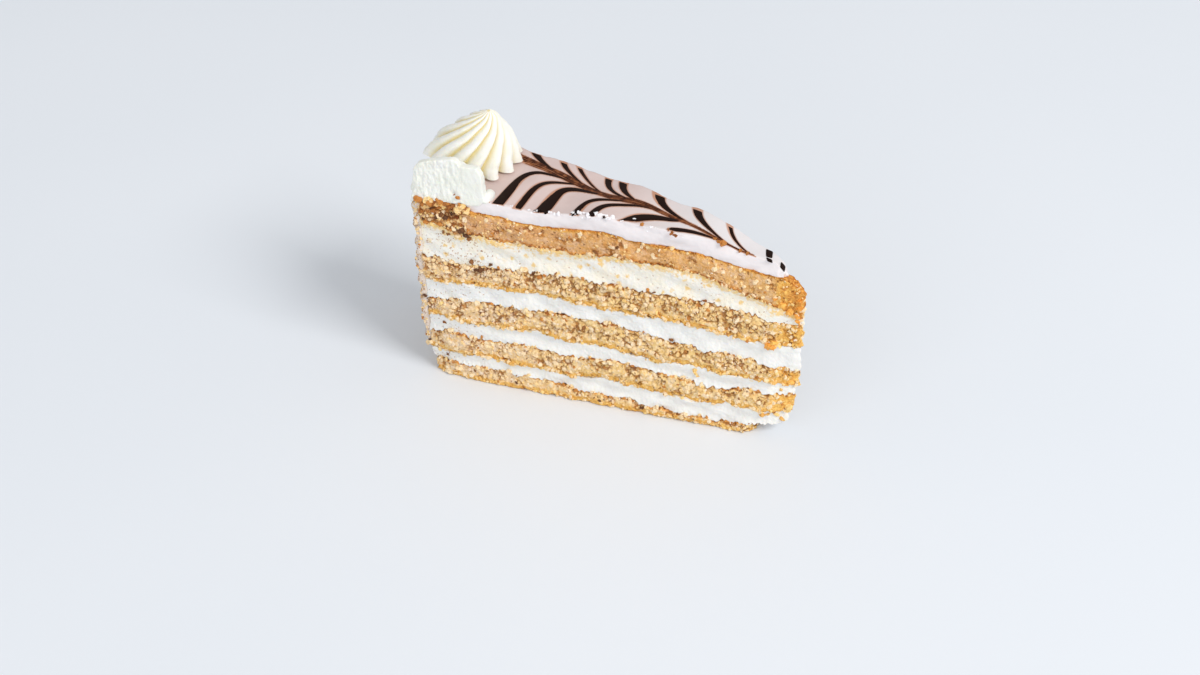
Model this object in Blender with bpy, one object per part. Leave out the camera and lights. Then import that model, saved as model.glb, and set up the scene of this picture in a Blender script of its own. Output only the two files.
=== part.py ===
"""Slice of a layered nut torte: five nut sponges, four buttercreams, a feathered sugar glaze and piped rosettes.

The tip points along +X, the outer rim along -X, and the near cut face looks along -Y. The slice stands on z = 0.
Lengths below are millimetres. A place on the slice is given by s, the distance from the tip along the middle line,
by y, the distance from the middle line, and by z, the height. Meshes are built in metres.
"""

import math

import bmesh
import bpy
import numpy as np
from mathutils import Vector

MM = 0.001
MERGE_DISTANCE = 1e-7
COLLECTION_NAME = "layered_nut_torte_slice"

# The slice in plan
SPONGE_RADIUS = 120.0
COAT_RADIUS = 121.7
HALF_ANGLE = math.radians(9.0)
TIP_HALF_WIDTH = 0.6
TIP_BLUNTING = 1.1
BLUNTING_REACH = 8.0
TIP_X = 61.1
APEX_SETBACK = TIP_HALF_WIDTH / math.tan(HALF_ANGLE)
RIM_SHARE = 0.15
TIP_ROUNDNESS = 0.96

# Thickness of each layer, from the plate up, at five places from the tip to the rim
PLACES = (0.0, 30.0, 60.0, 90.0, 116.0)
LAYERS = (
    ("sponge_5", (3.6, 2.9, 4.2, 5.5, 5.0)),
    ("cream_4", (5.9, 5.5, 5.8, 3.5, 3.2)),
    ("sponge_4", (5.5, 7.0, 6.9, 8.2, 7.6)),
    ("cream_3", (4.5, 4.9, 4.9, 5.4, 6.2)),
    ("sponge_3", (6.0, 7.9, 9.3, 8.7, 6.0)),
    ("cream_2", (7.3, 7.4, 5.2, 5.7, 7.2)),
    ("sponge_2", (9.2, 9.2, 9.7, 8.0, 9.4)),
    ("cream_1", (3.0, 8.8, 8.5, 9.9, 12.4)),
    ("sponge_1", (11.0, 7.7, 8.4, 8.5, 7.5)),
)
GLAZE_THICKNESS = (4.0, 5.8, 5.4, 4.1, 3.0)
GLAZE_TIP_LENGTH = 5.0
GLAZE_TIP_DROP = 2.2

# Where each layer begins behind the tip, and how far out it reaches at the rim
TIP_STARTS = {"sponge_5": 11.5, "cream_4": 3.0, "sponge_4": 1.2, "cream_3": 0.8, "glaze": 6.0}
OUTER_RADII = {"sponge_5": 118.4, "cream_4": 119.6, "glaze": 121.3}

# Unevenness
GAP = 0.3
UNDULATION = 0.5
UNDULATION_LENGTHS = (11.0, 42.0)
CRAGS = 0.32
CRAG_LENGTHS = (7.0, 19.0)
CRAG_FLATNESS = 1.7
CALM_TIP_LENGTH = 10.0
MIDDLE_BULGE = {"sponge": 0.3, "cream": -0.35, "glaze": 0.25}
FOOT_SPREAD = {-1: 3.4, 1: 1.7}
SPREAD_HEIGHT = 63.0
RIM_TUCK = 3.2
TUCK_START = 100.0
TUCK_LENGTH = 15.0
TUCK_SHARPNESS = 1.5
ROSETTE_BED = (84.0, 118.0)
BED_EASE_LENGTH = 12.0
SEEDS = {"boundary": 40, "layer": 70, "glaze": 90, "coat": 300}
FAR_SIDE_SEEDS = 500

# Local dents and lumps of the layer boundaries: boundary number, s, rise, reach
LUMPS = (
    (8, 103.0, -2.2, 3.0),
    (8, 113.0, 0.9, 6.0),
    (8, 56.0, 0.8, 8.0),
    (7, 104.0, -0.7, 5.0),
    (6, 80.0, 0.7, 6.0),
    (4, 78.0, 1.2, 5.0),
    (3, 108.0, 0.9, 3.0),
    (3, 50.0, 0.7, 7.0),
    (1, 40.0, -0.5, 9.0),
)

# Grid of a layer
GRID_CELLS = 32
CELLS_ACROSS = 4
CELLS_HIGH = 2
SHORTEST_CELL = 1.6
TINY = 0.01

# Coat of cream and chopped nuts on the outer rim
COAT_BOTTOM = 8.6
COAT_TOP_DROP = 0.4
COAT_CELLS = (14, 1, 16)
COAT_LUMPS = 0.4
COAT_LUMP_LENGTHS = (4.0, 9.0)
COAT_TUCK = 0.8
COAT_TUCK_TOP = 22.0

# Feathered chocolate lines: rings drawn round the torte, then dragged towards the tip along a spine
SPINE = ((14.0, 20.0, 43.0, 70.0, 97.0), (-2.2, -2.4, 1.3, 6.3, 9.6))
SPINE_START = 97.0
SPINE_END = 22.0
SPINE_WIDTHS = (3.0, 1.1)
NEAR_RINGS = (  # s at the near cut, drag, reach of the drag, width
    (91.5, 22.0, 2.4, 2.6),
    (84.4, 26.0, 3.6, 1.9),
    (76.8, 20.0, 3.3, 2.8),
    (69.2, 18.0, 3.7, 1.6),
    (63.5, 20.0, 3.0, 1.6),
    (56.0, 20.0, 5.0, 2.0),
    (41.5, 14.0, 3.5, 1.3),
)
FAR_RINGS = (
    (95.0, 22.0, 2.4, 3.2),
    (86.0, 24.0, 2.5, 2.7),
    (79.5, 24.0, 2.5, 2.0),
    (70.0, 22.0, 2.8, 2.4),
    (64.5, 22.0, 2.8, 2.2),
    (53.5, 20.0, 3.2, 3.6),
    (40.5, 18.0, 3.2, 3.0),
    (28.5, 14.0, 2.6, 2.2),
)
LINE_END_WIDTH = 0.7
LINE_RISE = 0.35
LINE_SINK = 0.9
LINE_CELLS = 12
LINE_CROWDING = 1.6
EDGE_CLEARANCE = 0.6

# Piped rosettes
LOBES = 13
LOBE_UNEVENNESS = 0.2
WIDE_SIDE = math.radians(-46.9)
SEGMENTS_PER_LOBE = 4
PROFILE_HEIGHTS = (0.0, 0.1, 0.22, 0.36, 0.5, 0.64, 0.77, 0.88, 0.96, 1.0)
CONE_RADII = (1.0, 0.99, 0.94, 0.84, 0.71, 0.56, 0.4, 0.25, 0.12, 0.04)
DOME_RADII = (0.97, 1.0, 0.99, 0.95, 0.9, 0.83, 0.71, 0.52, 0.3, 0.06)
GROOVE_DEPTHS = (0.2, 0.12)
GROOVE_SHARPNESS = 1.2
TWIST = math.radians(75.0)
TWIST_BUILD_UP = 2.0
LEAN_BUILD_UP = 1.5
WHOLE_ROSETTE = {
    "s": 108.4, "y": 4.8, "radius": 14.3, "height": 15.9, "radii": CONE_RADII, "lean": (5.2, 1.6), "phase": 0.12,
}
CUT_ROSETTE = {
    "s": 105.2, "y": -18.6, "radius": 11.2, "height": 12.0, "radii": DOME_RADII, "lean": (0.8, 0.0), "phase": 0.4,
}

# Edges sharper than this stay sharp in the shading
SHARP_ANGLE = math.radians(50.0)
ROSETTE_SHARP_ANGLE = math.radians(70.0)

# Colour in linear light and roughness of each kind of food
FINISHES = {
    "sponge": ((0.60, 0.34, 0.15, 1.0), 0.85),
    "cream": ((0.90, 0.86, 0.78, 1.0), 0.55),
    "glaze": ((0.80, 0.68, 0.65, 1.0), 0.35),
    "coat": ((0.72, 0.66, 0.58, 1.0), 0.8),
    "rosette": ((0.93, 0.87, 0.72, 1.0), 0.5),
}


def smooth_through(places, values, x):
    """A smooth curve through the given values, flat beyond its ends."""
    places, values = np.asarray(places, float), np.asarray(values, float)
    slopes = np.gradient(values, places)
    x = np.clip(np.asarray(x, float), places[0], places[-1])
    i = np.clip(np.searchsorted(places, x, side="right") - 1, 0, len(places) - 2)
    step = places[i + 1] - places[i]
    t = (x - places[i]) / step
    start = (2 * t**3 - 3 * t**2 + 1) * values[i] + (t**3 - 2 * t**2 + t) * step * slopes[i]
    end = (3 * t**2 - 2 * t**3) * values[i + 1] + (t**3 - t**2) * step * slopes[i + 1]
    return start + end


def ease(x):
    """Rises smoothly from 0 to 1 while x goes from 0 to 1."""
    x = np.clip(x, 0.0, 1.0)
    return x * x * (3 - 2 * x)


def waves(seed, p, q, lengths, count=7):
    """A seeded sum of sine waves over two coordinates, about one unit high."""
    draw = np.random.default_rng(seed)
    total = np.zeros(np.broadcast(p, q).shape)
    for _ in range(count):
        length = draw.uniform(*lengths)
        turn, phase = draw.uniform(0, 2 * math.pi, 2)
        total += np.sin(2 * math.pi * (p * math.cos(turn) + q * math.sin(turn)) / length + phase)
    return total / math.sqrt(count)


def half_width(s):
    """Half the distance between the two cuts, with the tip a little blunt."""
    wedge = TIP_HALF_WIDTH + s * math.tan(HALF_ANGLE)
    return np.hypot(wedge, TIP_BLUNTING * np.exp(-s / BLUNTING_REACH))


def rim_place(y, radius):
    """The s of a circle of this radius round the torte's centre."""
    return np.sqrt(radius**2 - y**2) - APEX_SETBACK


def boundary(number, s, y):
    """Height of a boundary between layers: 0 is the plate and 9 the top of the highest sponge."""
    s, y = np.broadcast_arrays(np.asarray(s, float), np.asarray(y, float))
    if number == 0:
        return np.zeros(s.shape)
    z = sum(smooth_through(PLACES, thickness, s) for _, thickness in LAYERS[:number])
    for where, middle, rise, reach in LUMPS:
        if where == number:
            z = z + rise * np.exp(-(((s - middle) / reach) ** 2))
    calm = 1.0 - ease((s - ROSETTE_BED[0]) / BED_EASE_LENGTH) if number == len(LAYERS) else 1.0
    return z + calm * UNDULATION * waves(SEEDS["boundary"] + number, s, y, UNDULATION_LENGTHS)


def glaze_top(s, y):
    """Height of the glaze's upper face, which rounds over at the tip."""
    rounding = 1.0 - np.clip((s - TIP_STARTS["glaze"]) / GLAZE_TIP_LENGTH, 0.0, 1.0)
    thickness = smooth_through(PLACES, GLAZE_THICKNESS, s) - GLAZE_TIP_DROP * rounding**2
    return boundary(len(LAYERS), s, y) + thickness


def cut_offset(kind, side, seed, s, z, share):
    """How far a cut face stands out from the straight cut: its foot spreads and each layer is craggy."""
    low = 1.0 - np.clip(z / SPREAD_HEIGHT, 0.0, 1.0)
    spread = FOOT_SPREAD[side] * (1.0 - np.clip(s / TUCK_START, 0.0, 1.0))
    tuck = RIM_TUCK * np.clip((s - TUCK_START) / TUCK_LENGTH, 0.0, 1.0) ** TUCK_SHARPNESS
    side_seed = seed + (FAR_SIDE_SEEDS if side > 0 else 0)
    crags = CRAGS * waves(side_seed, s, CRAG_FLATNESS * z, CRAG_LENGTHS)
    calm = ease(s / CALM_TIP_LENGTH)
    return low * (spread * calm - tuck) + calm * (crags + MIDDLE_BULGE[kind] * np.sin(math.pi * share))


def grid_block(cells):
    """A unit cube primitive whose faces are cut into a grid, with its corner at the origin."""
    bm = bmesh.new()
    bmesh.ops.create_cube(bm, size=1.0)
    for axis, count in enumerate(cells):
        if count < 2:
            continue
        along = [e for e in bm.edges if abs(e.verts[0].co[axis] - e.verts[1].co[axis]) > 0.5]
        bmesh.ops.subdivide_edges(bm, edges=along, cuts=count - 1, use_grid_fill=True)
    bmesh.ops.translate(bm, verts=bm.verts, vec=(0.5, 0.5, 0.5))
    return bm


def coordinates(bm):
    """The vertex coordinates of a mesh as three arrays."""
    return np.array([v.co[:] for v in bm.verts]).T


def place_vertices(bm, s, y, z):
    """Moves the vertices to places on the slice, in metres."""
    for vertex, a, b, c in zip(bm.verts, s, y, z):
        vertex.co = Vector((TIP_X - a, b, c)) * MM


def turn_outwards(bm):
    """Turns the faces of a closed mesh outwards, which placing them on the slice may have mirrored."""
    if bm.calc_volume(signed=True) < 0:
        bmesh.ops.reverse_faces(bm, faces=bm.faces)


def finish_object(name, kind, bm, collection, sharp_angle=SHARP_ANGLE):
    """Turns a mesh into a shaded object of the collection, with its material."""
    turn_outwards(bm)
    mesh = bpy.data.meshes.new(name)
    bm.to_mesh(mesh)
    bm.free()
    mesh.shade_smooth()
    mesh.set_sharp_from_angle(angle=sharp_angle)
    mesh.materials.append(material(kind))
    thing = bpy.data.objects.new(name, mesh)
    collection.objects.link(thing)
    return thing


def material(kind):
    """The plain material of one kind of food."""
    found = bpy.data.materials.get(kind)
    if found:
        return found
    made = bpy.data.materials.new(kind)
    made.use_nodes = True
    shader = made.node_tree.nodes["Principled BSDF"]
    colour, roughness = FINISHES[kind]
    shader.inputs["Base Color"].default_value = colour
    shader.inputs["Roughness"].default_value = roughness
    shader.inputs["Metallic"].default_value = 0.0
    made.diffuse_color = colour
    return made


def slab(kind, start, radius, lower, upper, seed):
    """A wedge-shaped layer between two uneven surfaces, from a grid block."""
    length = rim_place(0.0, radius)
    lines = np.linspace(0.0, length, GRID_CELLS + 1)
    stations = np.concatenate([[start], lines[lines > start + SHORTEST_CELL]])
    bm = grid_block((len(stations) - 1, CELLS_ACROSS, CELLS_HIGH))
    along, sideways, share = coordinates(bm)
    v = 2 * sideways - 1
    s = stations[np.rint(along * (len(stations) - 1)).astype(int)]
    tip_arc = (TIP_HALF_WIDTH + half_width(start)) * (1 - np.sqrt(1 - TIP_ROUNDNESS * v**2))
    s = s + np.where(s < start + TINY, tip_arc, 0.0)
    rim_pull = ease(1.0 - (length - s) / (RIM_SHARE * length))
    s = s + rim_pull * (rim_place(v * half_width(s), radius) - length)
    y = v * half_width(s)
    z = lower(s, y) + share * (upper(s, y) - lower(s, y))
    near = cut_offset(kind, -1, seed, s, z, share)
    far = cut_offset(kind, 1, seed, s, z, share)
    y = y + np.where(v < 0, v * near, v * far)
    place_vertices(bm, s, y, z)
    return bm


def raised(surface, rise):
    """The same surface, moved up."""
    return lambda s, y: surface(s, y) + rise


def build_layers(collection):
    """The sponges and creams, each between two neighbouring boundaries."""
    for index, (name, _) in enumerate(LAYERS):
        kind = name.split("_")[0]
        lower = raised(lambda s, y, n=index: boundary(n, s, y), GAP / 2 if index else 0.0)
        upper = raised(lambda s, y, n=index + 1: boundary(n, s, y), -GAP / 2)
        radius = OUTER_RADII.get(name, SPONGE_RADIUS)
        bm = slab(kind, TIP_STARTS.get(name, 0.0), radius, lower, upper, SEEDS["layer"] + index)
        finish_object(name, kind, bm, collection)


def spine_y(s):
    """The line along which the chocolate rings were dragged."""
    return smooth_through(*SPINE, s)


def ring_path(side, ring, drag, reach):
    """One dragged ring, from the cut face to the spine."""
    edge = half_width(ring) - EDGE_CLEARANCE
    longest = edge - side * spine_y(ring)
    distance = longest * (1.0 - np.linspace(0.0, 1.0, LINE_CELLS + 1)) ** LINE_CROWDING
    s = ring - drag * np.exp(-distance / reach)
    y = spine_y(s) + side * distance
    limit = half_width(s) - EDGE_CLEARANCE
    return s, np.clip(y, -limit, limit)


def line_mesh(s, y, widths):
    """A chocolate line: a low ridge that follows the glaze."""
    bm = grid_block((len(s) - 1, 1, 1))
    along, sideways, share = coordinates(bm)
    i = np.rint(along * (len(s) - 1)).astype(int)
    ds, dy = np.gradient(s), np.gradient(y)
    length = np.hypot(ds, dy)
    side = (sideways - 0.5) * widths[i]
    new_s = s[i] - side * (dy / length)[i]
    new_y = y[i] + side * (ds / length)[i]
    new_z = glaze_top(new_s, new_y) + np.where(share > 0.5, LINE_RISE, -LINE_SINK)
    place_vertices(bm, new_s, new_y, new_z)
    turn_outwards(bm)
    return bm


def chocolate_lines():
    """Every chocolate line as a mesh."""
    for side, rings in ((-1, NEAR_RINGS), (1, FAR_RINGS)):
        for ring, drag, reach, width in rings:
            s, y = ring_path(side, ring, drag, reach)
            share = np.linspace(0.0, 1.0, len(s))
            bend = share**2 if side < 0 else share
            yield line_mesh(s, y, width + (LINE_END_WIDTH - width) * bend)
    s = np.linspace(SPINE_START, SPINE_END, 2 * LINE_CELLS + 1)
    yield line_mesh(s, spine_y(s), np.linspace(*SPINE_WIDTHS, len(s)))


def join_by_boolean(base, pieces, solver):
    """The base with all the pieces fused to it, as a new mesh."""
    union = base.modifiers.new("fuse", "BOOLEAN")
    union.operation = "UNION"
    union.solver = solver
    union.operand_type = "COLLECTION"
    union.collection = pieces
    bpy.context.view_layer.update()
    evaluated = base.evaluated_get(bpy.context.evaluated_depsgraph_get())
    mesh = bpy.data.meshes.new_from_object(evaluated)
    base.modifiers.remove(union)
    return mesh


def build_glaze(collection, cutters):
    """The sugar glaze, with the chocolate lines fused to it as low relief."""
    top = len(LAYERS)
    lower = raised(lambda s, y: boundary(top, s, y), GAP / 2)
    bm = slab("glaze", TIP_STARTS["glaze"], OUTER_RADII["glaze"], lower, glaze_top, SEEDS["glaze"])
    glaze = finish_object("glaze", "glaze", bm, collection)
    for number, line in enumerate(chocolate_lines()):
        mesh = bpy.data.meshes.new(f"line_{number}")
        line.to_mesh(mesh)
        line.free()
        cutters.objects.link(bpy.data.objects.new(f"line_{number}", mesh))
    glaze.data = join_by_boolean(glaze, cutters, "MANIFOLD")
    glaze.data.name = "glaze"
    for thing in list(cutters.objects):
        bpy.data.objects.remove(thing)


def build_rim_coat(collection):
    """The thin coat of cream and chopped nuts on the outer rim, clear of the plate."""
    bm = grid_block(COAT_CELLS)
    turn, depth, share = coordinates(bm)
    radius_inside = SPONGE_RADIUS + GAP
    top = boundary(len(LAYERS), SPONGE_RADIUS - APEX_SETBACK, 0.0) - COAT_TOP_DROP
    z = COAT_BOTTOM + share * (top - COAT_BOTTOM)
    lumps = COAT_LUMPS * waves(SEEDS["coat"], turn * COAT_RADIUS * 2 * HALF_ANGLE, z, COAT_LUMP_LENGTHS)
    tuck = COAT_TUCK * (1 - np.clip((z - COAT_BOTTOM) / (COAT_TUCK_TOP - COAT_BOTTOM), 0, 1)) ** 2
    radius = radius_inside + depth * (COAT_RADIUS - radius_inside + lumps - tuck)
    inset = np.clip(RIM_TUCK * (1 - z / SPREAD_HEIGHT), 0, None)
    angle = (2 * turn - 1) * (HALF_ANGLE - inset / COAT_RADIUS)
    place_vertices(bm, radius * np.cos(angle) - APEX_SETBACK, radius * np.sin(angle), z)
    finish_object("rim_coat", "coat", bm, collection)


def rosette_mesh(shape, base):
    """A star-nozzle rosette: a lobed, twisted and tapered form, from a cylinder primitive."""
    bm = bmesh.new()
    around = LOBES * SEGMENTS_PER_LOBE
    bmesh.ops.create_cone(bm, cap_ends=True, segments=around, radius1=1.0, radius2=1.0, depth=1.0)
    upright = [e for e in bm.edges if abs(e.verts[0].co.z - e.verts[1].co.z) > 0.5]
    levels = len(PROFILE_HEIGHTS) - 1
    bmesh.ops.subdivide_edges(bm, edges=upright, cuts=levels - 1, use_grid_fill=True)
    x, y, z = coordinates(bm)
    level = np.rint((z + 0.5) * levels).astype(int)
    rise = np.array(PROFILE_HEIGHTS)[level]
    radius = shape["radius"] * np.array(shape["radii"])[level]
    angle = np.arctan2(y, x)
    lobe = np.abs(np.cos(angle * LOBES / 2))
    depth = GROOVE_DEPTHS[0] + (GROOVE_DEPTHS[1] - GROOVE_DEPTHS[0]) * rise
    radius = radius * (1 - depth * (1 - lobe) ** GROOVE_SHARPNESS)
    spaced = angle + LOBE_UNEVENNESS * np.sin(angle - WIDE_SIDE)
    turned = spaced + shape["phase"] - TWIST * rise**TWIST_BUILD_UP
    lean_s, lean_y = shape["lean"]
    s = shape["s"] + radius * np.cos(turned) - lean_s * rise**LEAN_BUILD_UP
    y = shape["y"] + radius * np.sin(turned) + lean_y * rise**LEAN_BUILD_UP
    place_vertices(bm, s, y, base + rise * shape["height"])
    turn_outwards(bm)
    return bm


def keep_one_side(bm, point, normal):
    """Cuts a closed mesh along a plane, drops what the normal points to and closes the cut."""
    everything = bm.verts[:] + bm.edges[:] + bm.faces[:]
    cut = bmesh.ops.bisect_plane(
        bm, geom=everything, dist=MERGE_DISTANCE, plane_co=Vector(point) * MM, plane_no=normal, clear_outer=True
    )
    rim = [e for e in cut["geom_cut"] if isinstance(e, bmesh.types.BMEdge)]
    bmesh.ops.edgeloop_fill(bm, edges=rim)


def build_rosettes(collection):
    """The whole rosette and the one that the near cut halved, pressed against each other."""
    bed = float(np.max(glaze_top(np.linspace(*ROSETTE_BED), 0.0))) + GAP
    whole = rosette_mesh(WHOLE_ROSETTE, bed)
    halved = rosette_mesh(CUT_ROSETTE, bed)
    near_cut = Vector((math.sin(HALF_ANGLE), -math.cos(HALF_ANGLE), 0.0))
    keep_one_side(halved, (TIP_X, -TIP_HALF_WIDTH, bed), near_cut)
    here = Vector((TIP_X - CUT_ROSETTE["s"], CUT_ROSETTE["y"], bed))
    there = Vector((TIP_X - WHOLE_ROSETTE["s"], WHOLE_ROSETTE["y"], bed))
    across = (there - here).normalized()
    share = CUT_ROSETTE["radius"] / (CUT_ROSETTE["radius"] + WHOLE_ROSETTE["radius"])
    meeting = here.lerp(there, share)
    keep_one_side(halved, meeting - across * GAP / 2, across)
    keep_one_side(whole, meeting + across * GAP / 2, -across)
    finish_object("rosette_whole", "rosette", whole, collection, ROSETTE_SHARP_ANGLE)
    finish_object("rosette_cut", "rosette", halved, collection, ROSETTE_SHARP_ANGLE)


def new_collection(name):
    """An empty collection in the scene."""
    made = bpy.data.collections.new(name)
    bpy.context.scene.collection.children.link(made)
    return made


def main():
    for thing in list(bpy.data.objects):
        bpy.data.objects.remove(thing)
    slice_parts = new_collection(COLLECTION_NAME)
    cutters = new_collection("cutters")
    build_layers(slice_parts)
    build_glaze(slice_parts, cutters)
    build_rim_coat(slice_parts)
    build_rosettes(slice_parts)


main()
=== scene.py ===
"""Looks of a layered nut torte slice: sponges, buttercreams, feathered glaze, nut-coated rim and rosettes.

The tip points along +X, the outer rim along -X, and the near cut face looks along -Y. Lengths are in
millimetres, and meshes in metres. A place on the slice is given by s, the distance from the tip along the
middle line, by y, the distance from the middle line, and by z, the height.
"""

import math

import bmesh
import bpy
import numpy as np
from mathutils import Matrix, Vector


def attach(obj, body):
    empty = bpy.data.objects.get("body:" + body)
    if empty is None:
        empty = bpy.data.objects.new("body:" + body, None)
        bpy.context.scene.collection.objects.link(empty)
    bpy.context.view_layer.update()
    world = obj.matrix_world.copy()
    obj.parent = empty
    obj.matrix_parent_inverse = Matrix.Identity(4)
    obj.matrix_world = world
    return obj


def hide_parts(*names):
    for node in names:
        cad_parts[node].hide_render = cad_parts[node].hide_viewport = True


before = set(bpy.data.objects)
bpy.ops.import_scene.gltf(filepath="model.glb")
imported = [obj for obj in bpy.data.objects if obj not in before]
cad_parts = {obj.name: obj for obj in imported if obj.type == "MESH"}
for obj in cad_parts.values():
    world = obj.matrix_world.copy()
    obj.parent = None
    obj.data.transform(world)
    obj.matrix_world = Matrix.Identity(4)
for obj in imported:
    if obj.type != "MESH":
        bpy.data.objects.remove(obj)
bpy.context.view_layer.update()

MM = 0.001

# The slice in plan
SPONGE_RADIUS = 120.0
COAT_RADIUS = 121.7
HALF_ANGLE = math.radians(9.0)
TIP_HALF_WIDTH = 0.6
TIP_BLUNTING = 1.1
BLUNTING_REACH = 8.0
TIP_X = 61.1
APEX_SETBACK = TIP_HALF_WIDTH / math.tan(HALF_ANGLE)
RIM_SHARE = 0.15
TIP_ROUNDNESS = 0.96
TIP_BLEND = 3.4

# Thickness of each layer, from the floor up, at five places from the tip to the rim
PLACES = (0.0, 30.0, 60.0, 90.0, 116.0)
LAYERS = (
    ("sponge_5", (3.6, 2.9, 4.2, 5.5, 5.0)),
    ("cream_4", (5.9, 5.5, 5.8, 3.5, 3.2)),
    ("sponge_4", (5.5, 7.0, 6.9, 8.2, 7.6)),
    ("cream_3", (4.5, 4.9, 4.9, 5.4, 6.2)),
    ("sponge_3", (6.0, 7.9, 9.3, 8.7, 6.0)),
    ("cream_2", (7.3, 7.4, 5.2, 5.7, 7.2)),
    ("sponge_2", (9.2, 9.2, 9.7, 8.0, 9.4)),
    ("cream_1", (3.0, 8.8, 8.5, 9.9, 12.4)),
    ("sponge_1", (11.0, 7.7, 8.4, 8.5, 7.5)),
)
TOP = len(LAYERS)
GLAZE_THICKNESS = (4.0, 5.8, 5.4, 4.1, 3.0)
GLAZE_TIP_LENGTH = 5.0
GLAZE_TIP_DROP = 2.2
# How far from the tip some layers start, and the outer radius of some
TIP_STARTS = {"sponge_5": 11.5, "cream_4": 3.0, "sponge_4": 1.2, "cream_3": 0.8, "glaze": 6.0}
OUTER_RADII = {"sponge_5": 118.4, "cream_4": 119.6, "glaze": 121.3}

# Unevenness that the solids have too
GAP = 0.3
UNDULATION = 0.5
UNDULATION_LENGTHS = (11.0, 42.0)
CRAGS = 0.32
CRAG_LENGTHS = (7.0, 19.0)
CRAG_FLATNESS = 1.7
CALM_TIP_LENGTH = 10.0
MIDDLE_BULGE = {"sponge": 0.3, "cream": -0.35, "glaze": 0.25}
FOOT_SPREAD = {-1: 3.4, 1: 1.7}
SPREAD_HEIGHT = 63.0
RIM_TUCK = 3.2
TUCK_START = 100.0
TUCK_LENGTH = 15.0
TUCK_SHARPNESS = 1.5
ROSETTE_BED = (84.0, 118.0)
BED_EASE_LENGTH = 12.0
SEEDS = {"boundary": 40, "layer": 70, "glaze": 90, "coat": 300}
FAR_SIDE_SEEDS = 500
LUMPS = (  # places where a boundary between layers bulges: its number, s, rise and reach
    (8, 103.0, -2.2, 3.0),
    (8, 113.0, 0.9, 6.0),
    (8, 56.0, 0.8, 8.0),
    (7, 104.0, -0.7, 5.0),
    (6, 80.0, 0.7, 6.0),
    (4, 78.0, 1.2, 5.0),
    (3, 108.0, 0.9, 3.0),
    (3, 50.0, 0.7, 7.0),
    (1, 40.0, -0.5, 9.0),
)

# Unevenness that only shows close by: ragged edges between the layers
FINE_CELL = 0.26
RAG = {"sponge_top": (0.3, 0.38), "sponge_bottom": (0.2, 0.32), "under_glaze": (0.07, 0.14)}
RAG_LENGTHS = ((0.9, 2.4), (2.6, 7.5))
RAG_WAVES = 22
RAG_SEED = 800
CELLS_ACROSS = 10
CELLS_ACROSS_LOW = 36
TIP_RAG = 0.45
TIP_RAG_LENGTHS = (2.0, 7.0)
TIP_RAG_WAVES = 9
TIP_RAG_SEED = 7
TIP_RAG_FLATNESS = 3
TIP_ROUNDING = 3.0
GLAZE_CELLS = (84, 16)  # across and high
GLAZE_TOP_ROUGHNESS = 0.35
TORN_EDGE = (30.0, 88.0)
TORN_EDGE_EASE = (12.0, 8.0)
TORN_EDGE_WIDTH = 1.2
TORN_EDGE_INSET = 0.1
TORN_ABOVE = 0.8  # share of the glaze's height
WHITE_EDGE = 0.8
PALE_END = (28.0, 34.0)  # where the glaze starts to turn greyer and over what length

# Coat of cream and chopped nuts on the outer rim
COAT_BOTTOM = 8.6
COAT_TOP_DROP = 0.4
COAT_CELLS = (128, 2, 190)  # round, deep and high
COAT_LUMPS = 0.4
COAT_LUMP_LENGTHS = (4.0, 9.0)
COAT_TUCK = 0.8
COAT_TUCK_TOP = 22.0

# Crumb and grain of the surfaces, as inputs of the trees that make them
TOP_CRUMB = {  # the top sponge was cut cleanly
    "Crumbs per metre": 1 / (1.6 * MM), "Crumb rise": 0.18 * MM, "Crack width": 0.14,
    "Crack depth": 0.5 * MM, "Grain depth": 0.16 * MM,
}
LOWER_CRUMB = {  # the others are torn and full of holes
    "Crumbs per metre": 1 / (1.75 * MM), "Crumb rise": 0.4 * MM, "Crack width": 0.16,
    "Crack depth": 0.7 * MM, "Grain depth": 0.2 * MM,
}
CALM = {"sponge_1": 0.485, "sponge_2": 0.465, "sponge_3": 0.49, "sponge_4": 0.535, "sponge_5": 0.535}
CREAM_GRAIN = {
    "Grains per metre": 1 / (1.0 * MM), "Grain depth": 0.14 * MM, "Pores per metre": 1 / (1.7 * MM),
    "Pore depth": 0.2 * MM, "Stretch": (0.9, 0.9, 1.0),
}
GLAZE_GRAIN = {
    "Grains per metre": 1 / (2.2 * MM), "Grain depth": 0.16 * MM, "Pores per metre": 1 / (3.0 * MM),
    "Pore depth": 0.0, "Stretch": (0.6, 0.6, 1.0), "Seed": 20.0,
}
COAT_GRAIN = {
    "Grains per metre": 1 / (1.9 * MM), "Grain depth": 0.4 * MM, "Pores per metre": 1 / (2.4 * MM),
    "Pore depth": 0.35 * MM, "Stretch": (1.0, 1.0, 1.0), "Seed": 30.0,
}
SLICED_CREAM_GRAIN = {
    "Grains per metre": 1 / (1.1 * MM), "Grain depth": 0.4 * MM, "Pores per metre": 1 / (2.0 * MM),
    "Pore depth": 0.35 * MM, "Stretch": (1.0, 1.0, 0.5), "Seed": 40.0,
}

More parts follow.
